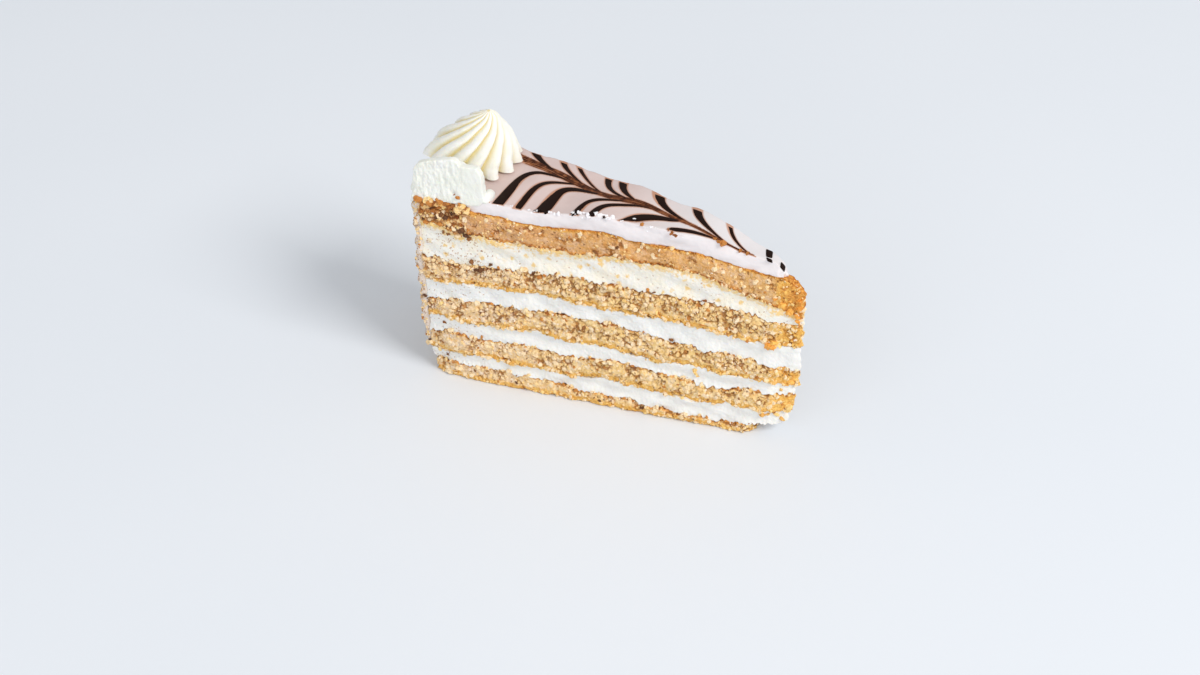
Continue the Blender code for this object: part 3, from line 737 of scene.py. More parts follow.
def scatter_tree():
    """Irregular bits strewn over a surface, as thickly as one of its attributes says."""
    tree, given = geometry_tree("strewn_bits", String=("Where",), Int=("Facets", "Seed"), Float=(
        "Bits per square metre", "Smallest", "Largest", "Flatness", "Lift", "Unevenness", "Lumps per metre",
    ))
    where = add(tree, "GeometryNodeInputNamedAttribute", {"Name": given["Where"]})
    density = add(tree, "ShaderNodeMath", {0: where, 1: given["Bits per square metre"]},
                  operation="MULTIPLY")
    points = add(tree, "GeometryNodeDistributePointsOnFaces", {
        "Mesh": given["Geometry"], "Density": density, "Seed": given["Seed"],
    })
    lift = add(tree, "ShaderNodeVectorMath", {0: points.outputs["Normal"], "Scale": given["Lift"]},
               operation="SCALE")
    lifted = add(tree, "GeometryNodeSetPosition", {"Geometry": points, "Offset": lift})
    tilt = add(tree, "FunctionNodeRandomValue", {
        0: (-0.7, -0.7, 0.0), 1: (0.7, 0.7, 6.28), "Seed": given["Seed"],
    }, data_type="FLOAT_VECTOR")
    turned = add(tree, "FunctionNodeRotateRotation", {0: points.outputs["Rotation"], 1: tilt},
                 rotation_space="LOCAL")
    even = add(tree, "FunctionNodeRandomValue", {"Seed": given["Seed"]})
    skewed = add(tree, "ShaderNodeMath", {0: even.outputs[1], 1: 2.2}, operation="POWER")
    size = add(tree, "ShaderNodeMapRange", {"Value": skewed, 3: given["Smallest"], 4: given["Largest"]})
    return crumble(tree, given, lifted, turned, size)


def laid_tree():
    """Irregular bits laid one by one at the points of a mesh, each as large as its width attribute says."""
    tree, given = geometry_tree("laid_bits", Int=("Facets", "Seed"), Float=(
        "Flatness", "Unevenness", "Lumps per metre", "Tilt",
    ))
    points = add(tree, "GeometryNodeMeshToPoints", {"Mesh": given["Geometry"]})
    low = add(tree, "ShaderNodeMath", {0: given["Tilt"], 1: -1.0}, operation="MULTIPLY")
    least = add(tree, "ShaderNodeCombineXYZ", {0: low, 1: low, 2: 0.0})
    most = add(tree, "ShaderNodeCombineXYZ", {0: given["Tilt"], 1: given["Tilt"], 2: 6.28})
    turn = add(tree, "FunctionNodeRandomValue", {0: least, 1: most, "Seed": given["Seed"]},
               data_type="FLOAT_VECTOR")
    width = add(tree, "GeometryNodeInputNamedAttribute", {"Name": "width"})
    return crumble(tree, given, points, turn, width)


def sweep_tree():
    """A flat round-edged band along each path, as wide as the path's width attribute says."""
    tree, given = geometry_tree("poured_line", Float=("Flatness",), Int=("Sides",))
    path = add(tree, "GeometryNodeMeshToCurve", {0: given["Geometry"]})
    level = add(tree, "GeometryNodeSetCurveNormal", {0: path}, mode="Z_UP")
    ring = add(tree, "GeometryNodeCurvePrimitiveCircle", {"Resolution": given["Sides"], "Radius": 0.5})
    squash = add(tree, "ShaderNodeCombineXYZ", {0: 1.0, 1: given["Flatness"], 2: 1.0})
    flat = add(tree, "GeometryNodeTransform", {"Geometry": ring, "Scale": squash})
    width = add(tree, "GeometryNodeInputNamedAttribute", {"Name": "width"})
    band = add(tree, "GeometryNodeCurveToMesh", {
        "Curve": level, "Profile Curve": flat, "Scale": width, "Fill Caps": True,
    })
    return close_tree(tree, band, given["Material"])


def rosette_tree():
    """A star nozzle's stream: a lobed ring swept up a path, turned and narrowed on its way, then leant."""
    tree, given = geometry_tree("piped_rosette", Int=(
        "Lobes", "Points round",
    ), Vector=(
        "Lean", "Middle",
    ), Float=(
        "Groove depth", "Groove sharpness", "Foot", "Height", "Lean build-up", "Foot flare", "Flare height",
        "Unevenness", "Lobe unevenness", "Wide side",
    ))
    ring = add(tree, "GeometryNodeCurvePrimitiveCircle", {
        "Resolution": given["Points round"], "Radius": 1.0,
    })
    here = add(tree, "GeometryNodeInputPosition")
    parts = add(tree, "ShaderNodeSeparateXYZ", {0: here})
    angle = add(tree, "ShaderNodeMath", {0: parts.outputs[1], 1: parts}, operation="ARCTAN2")
    half_lobes = add(tree, "ShaderNodeMath", {0: given["Lobes"], 1: 0.5}, operation="MULTIPLY")
    turns = add(tree, "ShaderNodeMath", {0: angle, 1: half_lobes}, operation="MULTIPLY")
    wave = add(tree, "ShaderNodeMath", {0: turns}, operation="COSINE")
    crest = add(tree, "ShaderNodeMath", {0: wave}, operation="ABSOLUTE")
    valley = add(tree, "ShaderNodeMath", {0: 1.0, 1: crest}, operation="SUBTRACT")
    sharp = add(tree, "ShaderNodeMath", {0: valley, 1: given["Groove sharpness"]}, operation="POWER")
    depth = add(tree, "ShaderNodeMath", {0: sharp, 1: given["Groove depth"]}, operation="MULTIPLY")
    left = add(tree, "ShaderNodeMath", {0: 1.0, 1: depth}, operation="SUBTRACT")
    star = add(tree, "ShaderNodeVectorMath", {0: here, "Scale": left}, operation="SCALE")
    from_wide = add(tree, "ShaderNodeMath", {0: angle, 1: given["Wide side"]}, operation="SUBTRACT")
    swing = add(tree, "ShaderNodeMath", {0: from_wide}, operation="SINE")
    shift = add(tree, "ShaderNodeMath", {0: swing, 1: given["Lobe unevenness"]}, operation="MULTIPLY")
    spaced = add(tree, "ShaderNodeVectorRotate", {"Vector": star, "Angle": shift},
                 rotation_type="Z_AXIS")
    noted = add(tree, "GeometryNodeStoreNamedAttribute", {
        "Geometry": ring, "Name": "groove", "Value": sharp,
    })
    nozzle = add(tree, "GeometryNodeSetPosition", {"Geometry": noted, "Position": spaced})
    path = add(tree, "GeometryNodeMeshToCurve", {0: given["Geometry"]})
    turn = add(tree, "GeometryNodeInputNamedAttribute", {"Name": "turn"})
    twisted = add(tree, "GeometryNodeSetCurveTilt", {"Curve": path, "Tilt": turn})
    width = add(tree, "GeometryNodeInputNamedAttribute", {"Name": "width"})
    stream = add(tree, "GeometryNodeCurveToMesh", {
        "Curve": twisted, "Profile Curve": nozzle, "Scale": width, "Fill Caps": True,
    })
    above = add(tree, "ShaderNodeMath", {0: parts.outputs[2], 1: given["Foot"]}, operation="SUBTRACT")
    rise = add(tree, "ShaderNodeMath", {0: above, 1: given["Height"]}, operation="DIVIDE", use_clamp=True)
    bend = add(tree, "ShaderNodeMath", {0: rise, 1: given["Lean build-up"]}, operation="POWER")
    lean = add(tree, "ShaderNodeVectorMath", {0: given["Lean"], "Scale": bend}, operation="SCALE")
    groove = add(tree, "GeometryNodeInputNamedAttribute", {"Name": "groove"})
    ridge = add(tree, "ShaderNodeMath", {0: 1.0, 1: groove}, operation="SUBTRACT")
    low = add(tree, "ShaderNodeMapRange", {"Value": rise, 1: given["Flare height"], 2: 0.0})
    flare = add(tree, "ShaderNodeMath", {0: low, 1: ridge}, operation="MULTIPLY")
    reach = add(tree, "ShaderNodeMath", {0: flare, 1: given["Foot flare"]}, operation="MULTIPLY")
    outward = add(tree, "ShaderNodeVectorMath", {0: here, 1: given["Middle"]}, operation="SUBTRACT")
    level = add(tree, "ShaderNodeVectorMath", {0: outward, 1: (1.0, 1.0, 0.0)}, operation="MULTIPLY")
    spread = add(tree, "ShaderNodeVectorMath", {0: level, "Scale": reach}, operation="SCALE")
    uneven, _ = wander(tree, here, 1 / (7 * MM), given["Unevenness"])
    moves = add(tree, "ShaderNodeVectorMath", {0: lean, 1: spread}, operation="ADD")
    all_moves = add(tree, "ShaderNodeVectorMath", {0: moves, 1: uneven}, operation="ADD")
    leant = add(tree, "GeometryNodeSetPosition", {"Geometry": stream, "Offset": all_moves})
    return close_tree(tree, leant, given["Material"])


def new_material(name):
    """An empty material: its node tree, its shader and the object's own coordinates."""
    made = bpy.data.materials.new(name)
    made.use_nodes = True
    tree = made.node_tree
    shader = tree.nodes["Principled BSDF"]
    place = add(tree, "ShaderNodeTexCoord").outputs["Object"]
    return made, tree, shader, place


def blend_colours(tree, factor, first, second, mode="MIX"):
    """Mixes two colours by a factor. Returns the result's socket."""
    mix = add(tree, "ShaderNodeMix", {0: factor, 6: first, 7: second}, data_type="RGBA", blend_type=mode)
    return mix.outputs[2]


def dress(tree, shader, colour, values, height, depth, strength):
    """Gives a shader its colour, its fixed values and a relief of so many millimetres."""
    bump = add(tree, "ShaderNodeBump", {"Height": height, "Distance": depth * MM, "Strength": strength})
    for label, value in (("Base Color", colour), ("Normal", bump), *values.items()):
        feed(tree, shader.inputs[label], value)


def sponge_material():
    """Baked ground-nut sponge: a matt tan crumb of pale and brown grains, dark skins and golden crusts, with
    painted shade in its cracks.
    """
    made, tree, shader, place = new_material("baked_nut_sponge")
    uneven, _ = ragged_place(tree, place, 0.6, 1.1)
    # The crumb is yellowish, and greyer and pinker near the rim.
    greyer = add(tree, "ShaderNodeAttribute", attribute_name="greyer")
    colour = blend_colours(tree, greyer.outputs["Fac"], srgb("#FAD68C"), srgb("#F0D0AC"))
    broad = add(tree, "ShaderNodeTexNoise", {"Vector": place, "Scale": 1 / (4.0 * MM), "Detail": 3.0})
    patch = add(tree, "ShaderNodeMapRange", {"Value": broad, 1: 0.5, 2: 0.64, 4: 0.5})
    colour = blend_colours(tree, patch, colour, srgb("#E8BC5C"))
    # Ground nuts are 0.4 to 1 mm across.
    grains = add(tree, "ShaderNodeTexVoronoi", {"Vector": uneven, "Scale": 1 / (0.62 * MM)})
    grain_pick = add(tree, "ShaderNodeSeparateColor", {0: grains.outputs["Color"]})
    grain_colour = add(tree, "ShaderNodeValToRGB", {0: grain_pick.outputs[1]})
    fill_ramp(grain_colour.color_ramp, (
        (0.0, "#96602C"), (0.1, "#D29A56"), (0.34, "#F0C886"), (0.6, "#FAD89C"), (0.82, "#FDE6C0"),
        (1.0, "#FFFAF4"),
    ))
    colour = blend_colours(tree, 0.4, colour, grain_colour)
    tone = add(tree, "ShaderNodeAttribute", attribute_name="tone")
    tone_colour = add(tree, "ShaderNodeValToRGB", {0: tone.outputs["Fac"]})
    fill_ramp(tone_colour.color_ramp, (
        (0.0, "#C08040"), (0.1, "#DCA05C"), (0.2, "#F2C888"), (0.6, "#FAD89C"), (0.76, "#FBE4C2"),
        (0.9, "#FFF4EA"), (1.0, "#FFFAF6"),
    ))
    colour = blend_colours(tree, 0.31, colour, tone_colour)
    mottle = add(tree, "ShaderNodeTexNoise", {"Vector": uneven, "Scale": 1 / (1.3 * MM), "Detail": 2.0})
    spread = add(tree, "ShaderNodeMapRange", {"Value": mottle, 1: 0.5, 2: 0.66})
    rosy = add(tree, "ShaderNodeAttribute", attribute_name="rosy")
    paler = add(tree, "ShaderNodeMath", {0: rosy.outputs["Fac"], 1: greyer.outputs["Fac"]},
                operation="MAXIMUM")
    most = add(tree, "ShaderNodeMapRange", {"Value": paler, 3: 0.15, 4: 0.5})
    pinkish = add(tree, "ShaderNodeMath", {0: spread, 1: most}, operation="MULTIPLY")
    colour = blend_colours(tree, pinkish, colour, srgb("#FBE3C9"))
    # The top sponge is rosier than the others.
    colour = blend_colours(tree, rosy.outputs["Fac"], colour, srgb("#EACFBB"), "MULTIPLY")
    wobble = add(tree, "ShaderNodeTexNoise", {"Vector": place, "Scale": 1 / (1.3 * MM), "Detail": 3.0})
    for label, dark, light, start, end, most in (
        ("gold", "#E0992F", "#FBCD72", 0.56, 0.96, 0.88),
        ("toast", "#B05A1C", "#EFA64C", 0.72, 1.1, 0.8),
        ("scorch", "#5C260C", "#A8602A", 0.85, 1.2, 0.9),
    ):
        crust = add(tree, "ShaderNodeAttribute", attribute_name=label)
        edge = add(tree, "ShaderNodeMath", {0: crust.outputs["Fac"], 1: wobble}, operation="ADD")
        amount = add(tree, "ShaderNodeMapRange", {"Value": edge, 1: start, 2: end, 4: most},
                     interpolation_type="SMOOTHSTEP")
        baked = blend_colours(tree, grain_pick.outputs[2], srgb(dark), srgb(light))
        colour = blend_colours(tree, amount, colour, baked)
    # Flecks of dark nut skin, 0.3 to 0.7 mm, in some of the cells of a 1.1 mm pattern.
    skins = add(tree, "ShaderNodeTexVoronoi", {"Vector": uneven, "Scale": 1 / (1.1 * MM)})
    skin_pick = add(tree, "ShaderNodeSeparateColor", {0: skins.outputs["Color"]})
    skin_size = add(tree, "ShaderNodeMapRange", {"Value": skin_pick.outputs[1], 3: 0.12, 4: 0.34})
    skin_here = add(tree, "ShaderNodeMath", {0: skins, 1: skin_size}, operation="LESS_THAN")
    skin_some = add(tree, "ShaderNodeMath", {0: skin_pick, 1: 0.74}, operation="GREATER_THAN")
    skin = add(tree, "ShaderNodeMath", {0: skin_here, 1: skin_some}, operation="MULTIPLY")
    soft_skin = add(tree, "ShaderNodeMath", {0: skin, 1: 0.7}, operation="MULTIPLY")
    colour = blend_colours(tree, soft_skin, colour, srgb("#7A3E18"))
    # Painted shade in the cracks between crumbs: golden brown, and dark brown only in the deepest.
    pit = add(tree, "ShaderNodeAttribute", attribute_name="pit")
    shade = add(tree, "ShaderNodeMapRange", {"Value": pit.outputs["Fac"], 1: 0.04, 2: 0.6, 4: 0.8})
    depth = add(tree, "ShaderNodeMapRange", {"Value": wobble, 1: 0.35, 2: 0.65})
    crack_shade_colour = blend_colours(tree, depth, srgb("#C8802E"), srgb("#82441A"))
    colour = blend_colours(tree, shade, colour, crack_shade_colour)
    fine = add(tree, "ShaderNodeTexNoise", {"Vector": place, "Scale": 1 / (0.4 * MM), "Detail": 3.0})
    heights = add(tree, "ShaderNodeMath", {0: grains, 1: fine}, operation="ADD")
    dress(tree, shader, colour, {"Roughness": 0.85, "Specular IOR Level": 0.25}, heights, 0.25, 0.8)
    return made


def fill_ramp(ramp, stops):
    """Gives a colour ramp its stops, each a position and an sRGB hex value."""
    while len(ramp.elements) < len(stops):
        ramp.elements.new(0.5)
    for element, (position, code) in zip(ramp.elements, stops):
        element.position = position
        element.color = srgb(code)


def cream_material(name, base, warm, spots, spot_colour):
    """Whipped buttercream: nearly white and a little translucent, with warmer patches, dabs and specks, and
    painted shade in piped grooves.
    """
    made, tree, shader, place = new_material(name)
    broad = add(tree, "ShaderNodeTexNoise", {"Vector": place, "Scale": 1 / (5 * MM), "Detail": 3.0})
    patch = add(tree, "ShaderNodeMapRange", {"Value": broad, 1: 0.42, 2: 0.66})
    colour = blend_colours(tree, patch, srgb(base), srgb(warm))
    crumbs = add(tree, "ShaderNodeAttribute", attribute_name="crumbs")
    uneven, sway = ragged_place(tree, place, 0.9, 1.6)
    # Dabs are 1 to 2 mm across, specks 0.3 to 0.6 mm.
    for size, part, code, share in ((2.3, "crumbs", spot_colour, spots), (0.75, "specks", "#A8723C", 0.75)):
        cells = add(tree, "ShaderNodeTexVoronoi", {"Vector": uneven, "Scale": 1 / (size * MM)})
        chance = add(tree, "ShaderNodeSeparateColor", {0: cells.outputs["Color"]})
        near = add(tree, "ShaderNodeAttribute", attribute_name=part)
        likely = add(tree, "ShaderNodeMath", {0: chance, 1: near.outputs["Fac"]}, operation="ADD")
        there = add(tree, "ShaderNodeMapRange", {"Value": likely, 1: 1.0, 2: 1.12})
        round_dab = add(tree, "ShaderNodeMapRange", {"Value": cells, 1: 0.5, 2: 0.2},
                        interpolation_type="SMOOTHSTEP")
        shown = add(tree, "ShaderNodeMath", {0: there, 1: round_dab}, operation="MULTIPLY")
        amount = add(tree, "ShaderNodeMath", {0: shown, 1: share}, operation="MULTIPLY")
        colour = blend_colours(tree, amount, colour, srgb(code))
    smear = add(tree, "ShaderNodeMath", {0: crumbs.outputs["Fac"], 1: sway}, operation="ADD")
    tinted = add(tree, "ShaderNodeMapRange", {"Value": smear, 1: 1.1, 2: 1.45, 4: spots},
                 interpolation_type="SMOOTHSTEP")
    colour = blend_colours(tree, tinted, colour, srgb(spot_colour))
    # Painted shade in the piped grooves: a yellowish tint where a groove is deepest.
    groove = add(tree, "ShaderNodeAttribute", attribute_name="groove")
    groove_shade_amount = add(tree, "ShaderNodeMapRange", {"Value": groove.outputs["Fac"], 1: 0.25, 2: 0.95, 4: 0.9})
    colour = blend_colours(tree, groove_shade_amount, colour, srgb("#E8D690"))
    fine = add(tree, "ShaderNodeTexNoise", {"Vector": place, "Scale": 1 / (0.6 * MM), "Detail": 3.0})
    dress(tree, shader, colour, {
        "Roughness": 0.5, "Specular IOR Level": 0.3, "Subsurface Weight": 0.2,
        "Subsurface Radius": (1.0, 0.8, 0.6), "Subsurface Scale": 0.7 * MM,
    }, fine, 0.2, 0.6)
    return made


def glaze_material():
    """Set sugar fondant: an opaque pinkish white, softly glossy, browned by cocoa beside the lines."""
    made, tree, shader, place = new_material("set_fondant_glaze")
    top = add(tree, "ShaderNodeAttribute", attribute_name="top")
    broad = add(tree, "ShaderNodeTexNoise", {"Vector": place, "Scale": 1 / (9 * MM), "Detail": 2.0})
    tone = blend_colours(tree, broad, srgb("#DCC7C2"), srgb("#D0BAB5"))
    pale_end = blend_colours(tree, broad, srgb("#E4DEDE"), srgb("#DCD8DA"))
    towards_tip = add(tree, "ShaderNodeAttribute", attribute_name="towards_tip")
    tone = blend_colours(tree, towards_tip.outputs["Fac"], tone, pale_end)
    cut = blend_colours(tree, broad, srgb("#EEE7E7"), srgb("#E8E1E2"))
    colour = blend_colours(tree, top.outputs["Fac"], cut, tone)
    cocoa = add(tree, "ShaderNodeAttribute", attribute_name="cocoa")
    colour = blend_colours(tree, cocoa.outputs["Fac"], colour, srgb("#B8774A"))
    fine = add(tree, "ShaderNodeTexNoise", {"Vector": place, "Scale": 1 / (2.5 * MM), "Detail": 2.0})
    dress(tree, shader, colour, {
        "Roughness": 0.4, "Specular IOR Level": 0.35, "Subsurface Weight": 0.12,
        "Subsurface Radius": (1.0, 0.8, 0.7), "Subsurface Scale": 0.8 * MM,
    }, fine, 0.12, 0.3)
    return made


def chocolate_material():
    """Set dark chocolate: nearly black where it is thick, milky brown where the line is drawn out thin."""
    made, tree, shader, place = new_material("dark_chocolate")
    width = add(tree, "ShaderNodeAttribute", attribute_name="width")
    flow = add(tree, "ShaderNodeTexNoise", {"Vector": place, "Scale": 1 / (1.6 * MM), "Detail": 3.0})
    sway = add(tree, "ShaderNodeMapRange", {"Value": flow, 1: 0.3, 2: 0.7, 3: -0.25 * MM, 4: 0.25 * MM})
    wide = add(tree, "ShaderNodeMath", {0: width.outputs["Fac"], 1: sway}, operation="ADD")
    thick = add(tree, "ShaderNodeMapRange", {"Value": wide, 1: 0.25 * MM, 2: 1.25 * MM})
    colour = add(tree, "ShaderNodeValToRGB", {0: thick})
    fill_ramp(colour.color_ramp, ((0.0, "#8E5836"), (0.2, "#5E331E"), (0.5, "#2E170D"), (1.0, "#1E0D06")))
    dress(tree, shader, colour, {"Roughness": 0.5, "Specular IOR Level": 0.08}, flow, 0.1, 0.3)
    return made


def bit_material(name, dark, light, roughness):
    """Crumbs or nut pieces of one kind, each a little darker or lighter than the next."""
    made, tree, shader, place = new_material(name)
    shade = add(tree, "ShaderNodeAttribute", attribute_name="shade")
    grain = add(tree, "ShaderNodeTexNoise", {"Vector": place, "Scale": 1 / (0.5 * MM), "Detail": 2.0})
    total = add(tree, "ShaderNodeMath", {0: shade.outputs["Fac"], 1: grain}, operation="ADD")
    spread = add(tree, "ShaderNodeMapRange", {"Value": total, 1: 0.35, 2: 1.5})
    colour = blend_colours(tree, spread, srgb(dark), srgb(light))
    dress(tree, shader, colour, {"Roughness": roughness}, grain, 0.15, 0.5)
    return made


def slab(kind, start, radius, lower, upper, seed, across, cells_high):
    """A wedge-shaped layer between two uneven surfaces. Returns its points, quads and place coordinates."""
    length = float(rim_place(0.0, radius))
    cells_along = round((length - start) / FINE_CELL)
    unit, quads = block((cells_along, across, cells_high))
    along, sideways, share = unit
    v = 2 * sideways - 1
    s = start + along * (length - start)
    tip_arc = (TIP_HALF_WIDTH + half_width(start)) * (1 - np.sqrt(1 - TIP_ROUNDNESS * v**2))
    s = s + tip_arc * (1 - ease((s - start) / TIP_BLEND))
    rim_pull = ease(1.0 - (length - s) / (RIM_SHARE * length))
    s = s + rim_pull * (rim_place(v * half_width(s), radius) - length)
    y = v * half_width(s)
    z = lower(s, y) + share * (upper(s, y) - lower(s, y))
    near = cut_offset(kind, -1, seed, s, z, share)
    far = cut_offset(kind, 1, seed, s, z, share)
    y = y + np.where(v < 0, v * near, v * far)
    at_tip = 1 - ease((s - start) / TIP_BLEND)
    s = s + at_tip * TIP_RAG * waves(
        seed + TIP_RAG_SEED, z, TIP_RAG_FLATNESS * y, TIP_RAG_LENGTHS, TIP_RAG_WAVES
    )
    wall = (along == 0) | (along == 1) | (sideways == 0) | (sideways == 1)
    return to_metres(s, y, z), quads, {"s": s, "y": y, "z": z, "share": share, "wall": wall.astype(float)}


def layer_numbers(index, kind, s, above, below):
    """Numbers for each point of a layer: its crusts and stains, and how thickly bits of each kind lie on it.

    above is the height over the layer's underside and below the depth under its top.
    """
    def close(distance, reach):
        return 1 - ease(distance / reach)

    if kind == "cream":
        first = index == TOP - 2
        rim_side = ease((s - 90) / 10)
        return {
            "crumbs": (
                0.28 + 0.6 * close(below, 5.0) + 0.04 * rim_side if first else 0.62 * close(below, 1.1)
            ),
            "specks": 0.12 + 0.3 * rim_side if first else 0.2 * rim_side,
            "skins": 0.3 * close(above, 0.7) + (0.15 * rim_side if first else 0),
            "browned": 0.5 * close(above, 0.8) + (0.7 * close(below, 0.9) if first else 0),
            "golden": 0.7 * close(below, 0.8) + (0.3 * close(below, 4.0) if first else 0),
        }
    top_sponge = index == TOP - 1
    tip = close(s - 2.5, 8.0 if top_sponge else 9.0)
    if top_sponge:
        chunks = ease((s - 99.0) / 4.0)
        return {
            "rosy": 0.95 - 0.25 * close(s - 8, 40.0),
            "greyer": 0.7 * ease((s - 55) / 40),
            "broken": 0.3 * chunks + 0.06 * close(above, 2.0) - 0.1 * close(s - 4, 10.0),
            "gold": np.maximum(0.95 * tip, 0.5 * close(below, 1.8)),
            "toast": np.maximum(np.maximum(0.9 * close(below, 1.1), 0.75 * close(above, 2.0)), 0.5 * tip),
            "scorch": np.maximum(0.45 * chunks, 0.45 * close(above, 1.6)),
            "skins": 0.3 + 0.8 * close(above, 1.4) + 0.6 * chunks,
            "browned": 0.25 + 1.6 * close(above, 1.8) + 0.9 * chunks,
            "golden": 0.1 + 0.3 * close(above, 1.0) + 0.8 * chunks,
            "pale": 0.3 * (1 - tip) + 0.05,
            "matrix": 0.4 + 1.0 * close(above, 1.0) + 0.8 * chunks,
        }
    return {
        "greyer": np.maximum(0.9 * ease((s - 58) / 40), 0.35 * (index == 0)),
        "broken": 0.08 * ease((above - 1.8) / 2.0) + 0.06 * close(below, 1.5) - 0.1 * close(s - 2, 8.0),
        "gold": np.maximum(np.maximum(1.0 * close(above, 2.6), 0.25 * close(below, 1.0)), 0.65 * tip),
        "toast": np.maximum(0.7 * close(below, 1.2), 0.15 * tip),
        "scorch": (0.62 if index > 2 else 0.4) * close(below, 0.9) * (1 - 0.7 * tip),
        "skins": 0.35 + 1.4 * close(below, 1.0),
        "browned": 0.2 + 1.5 * close(below, 1.1),
        "golden": 0.1 + 1.0 * close(above, 1.2) + 0.1 * tip,
        "pale": 0.9 * (1 - tip) + 0.1,
        "matrix": 0.8 + 1.6 * close(below, 1.0) + 1.0 * close(above, 0.9),
    }


def layer_top(number, s, y):
    """Upper side of a layer: the top sponge is rounded off at the tip, which the glaze doesn't reach."""
    drop = TIP_ROUNDING * np.clip(1 - s / TIP_STARTS["glaze"], 0, 1) ** 2 if number == TOP else 0.0
    return ragged_boundary(number, s, y) - drop


def build_layers(crumb, relief, sponge, creams):
    """The sponges and creams. Returns their objects by node name."""
    made = {}
    for index, (name, thickness) in enumerate(LAYERS):
        kind = name.split("_")[0]
        across = CELLS_ACROSS_LOW if index < 2 else CELLS_ACROSS
        points, quads, place = slab(
            kind, TIP_STARTS.get(name, 0.0), OUTER_RADII.get(name, SPONGE_RADIUS),
            lambda s, y, n=index: ragged_boundary(n, s, y),
            lambda s, y, n=index + 1: layer_top(n, s, y),
            SEEDS["layer"] + index, across, round(max(thickness) / FINE_CELL),
        )
        s, y, share = place["s"], place["y"], place["share"]
        span = ragged_boundary(index + 1, s, y) - ragged_boundary(index, s, y)
        numbers = layer_numbers(index, kind, s, share * span, (1 - share) * span)
        if index == TOP - 1:
            place["wall"] = np.maximum(place["wall"], s < TIP_STARTS["glaze"] + 1.5)
        for label in STREWN:
            numbers[label] = np.maximum(numbers.get(label, 0.0), 0.0) * place["wall"]
        mesh = food_mesh(name, points, quads, {"wall": place["wall"], **numbers})
        if kind == "cream":
            tree = relief
            values = {**CREAM_GRAIN, "Material": creams[0 if name == "cream_1" else 1]}
        else:
            tree = crumb
            texture = TOP_CRUMB if index == TOP - 1 else LOWER_CRUMB
            values = {**texture, "Calm": CALM[name], "Material": sponge}
        made[name] = grow(name + "_looks", mesh, tree, {**values, "Seed": float(index)})
    return made


def spine_y(s):
    """The line along which the chocolate rings were dragged."""
    return smooth_through(*SPINE, s)


def spine_half_width(s):
    """Half the width of the drawn-out chocolate along the spine."""
    along = np.clip((SPINE_START - s) / (SPINE_START - SPINE_END), 0, 1)
    return 0.5 * (SPINE_WIDTHS[0] + (SPINE_WIDTHS[1] - SPINE_WIDTHS[0]) * along)


def ring_path(side, ring, drag, reach, width, bare, widening):
    """One dragged ring, from beyond the glaze's edge to the spine and along it. Returns s, y and width."""
    longest = half_width(ring) + OVERSHOOT - bare - side * spine_y(ring)
    share = np.linspace(0.0, 1.0, LINE_POINTS)
    distance = TAIL_GAP + (longest - TAIL_GAP) * (1.0 - share) ** LINE_CROWDING
    s = ring - drag * np.exp(-distance / reach)
    narrowing = 1.0 - share**NEAR_TAPER if side < 0 else (1.0 - share) ** FAR_TAPER
    widths = LINE_END_WIDTH + (width - LINE_END_WIDTH) * narrowing
    if widening:
        widths = widths * (WIDENING_START + (1 - WIDENING_START) * ease(share / widening))
    along = np.linspace(0.0, 1.0, TAIL_POINTS)[1:]
    s = np.concatenate([s, s[-1] - TAIL_LENGTH * along])
    distance = np.concatenate([distance, TAIL_GAP * (1 - TAIL_CLOSING * along)])
    widths = np.concatenate([widths, LINE_END_WIDTH * (1 - TAIL_NARROWING * along)])
    return s, spine_y(s) + side * distance, widths


def line_paths():
    """Every chocolate line as s, y and width."""
    for side, rings in ((-1, NEAR_RINGS), (1, FAR_RINGS)):
        for ring in rings:
            s, y, width = ring_path(side, *ring)
            keep = s > SPINE_END
            yield s[keep], y[keep], width[keep]
    draw = np.random.default_rng(STRAND_SEED)
    for _ in range(STRANDS):
        start = SPINE_START - draw.uniform(0, STRAND_SHORTENING[0])
        end = SPINE_END + draw.uniform(0, STRAND_SHORTENING[1])
        s = np.linspace(start, end, 2 * LINE_POINTS)
        place = draw.uniform(-1, 1)
        sway = np.sin(s / draw.uniform(*STRAND_SWAY_LENGTHS) + draw.uniform(0, 6))
        y = spine_y(s) + spine_half_width(s) * (place + STRAND_SWAY * sway)
        yield s, y, np.full(s.shape, draw.uniform(*STRAND_WIDTHS))


def paths_mesh(name, paths):
    """Open polylines on the glaze, with a width for each point."""
    points = []
    edges = []
    widths = []
    for s, y, width in paths:
        first = len(points)
        points += to_metres(s, y, glaze_top(s, y) + LINE_LIFT).tolist()
        edges += [(first + i, first + i + 1) for i in range(len(s) - 1)]
        widths += list(width * MM)
    mesh = bpy.data.meshes.new(name)
    mesh.from_pydata(points, edges, [])
    note(mesh, "width", widths)
    return mesh


def cocoa_stain(s, y):
    """How much cocoa has run into the glaze at a place: beside the lines and along the spine."""
    stain = np.zeros(s.shape)
    for path_s, path_y, width in line_paths():
        for a, b, w in zip(path_s[::2], path_y[::2], width[::2]):
            distance = np.hypot(s - a, y - b) - w / 2
            stain = np.maximum(stain, STAIN_STRENGTH * (1 - ease(distance / STAIN_REACH)))
    half = spine_half_width(s)
    inside = (s > SPINE_END) & (s < SPINE_START)
    smear = 1 - ease((np.abs(y - spine_y(s)) - SPINE_STAIN_CORE * half) / half)
    return np.maximum(stain, SPINE_STAIN_STRENGTH * inside * smear)


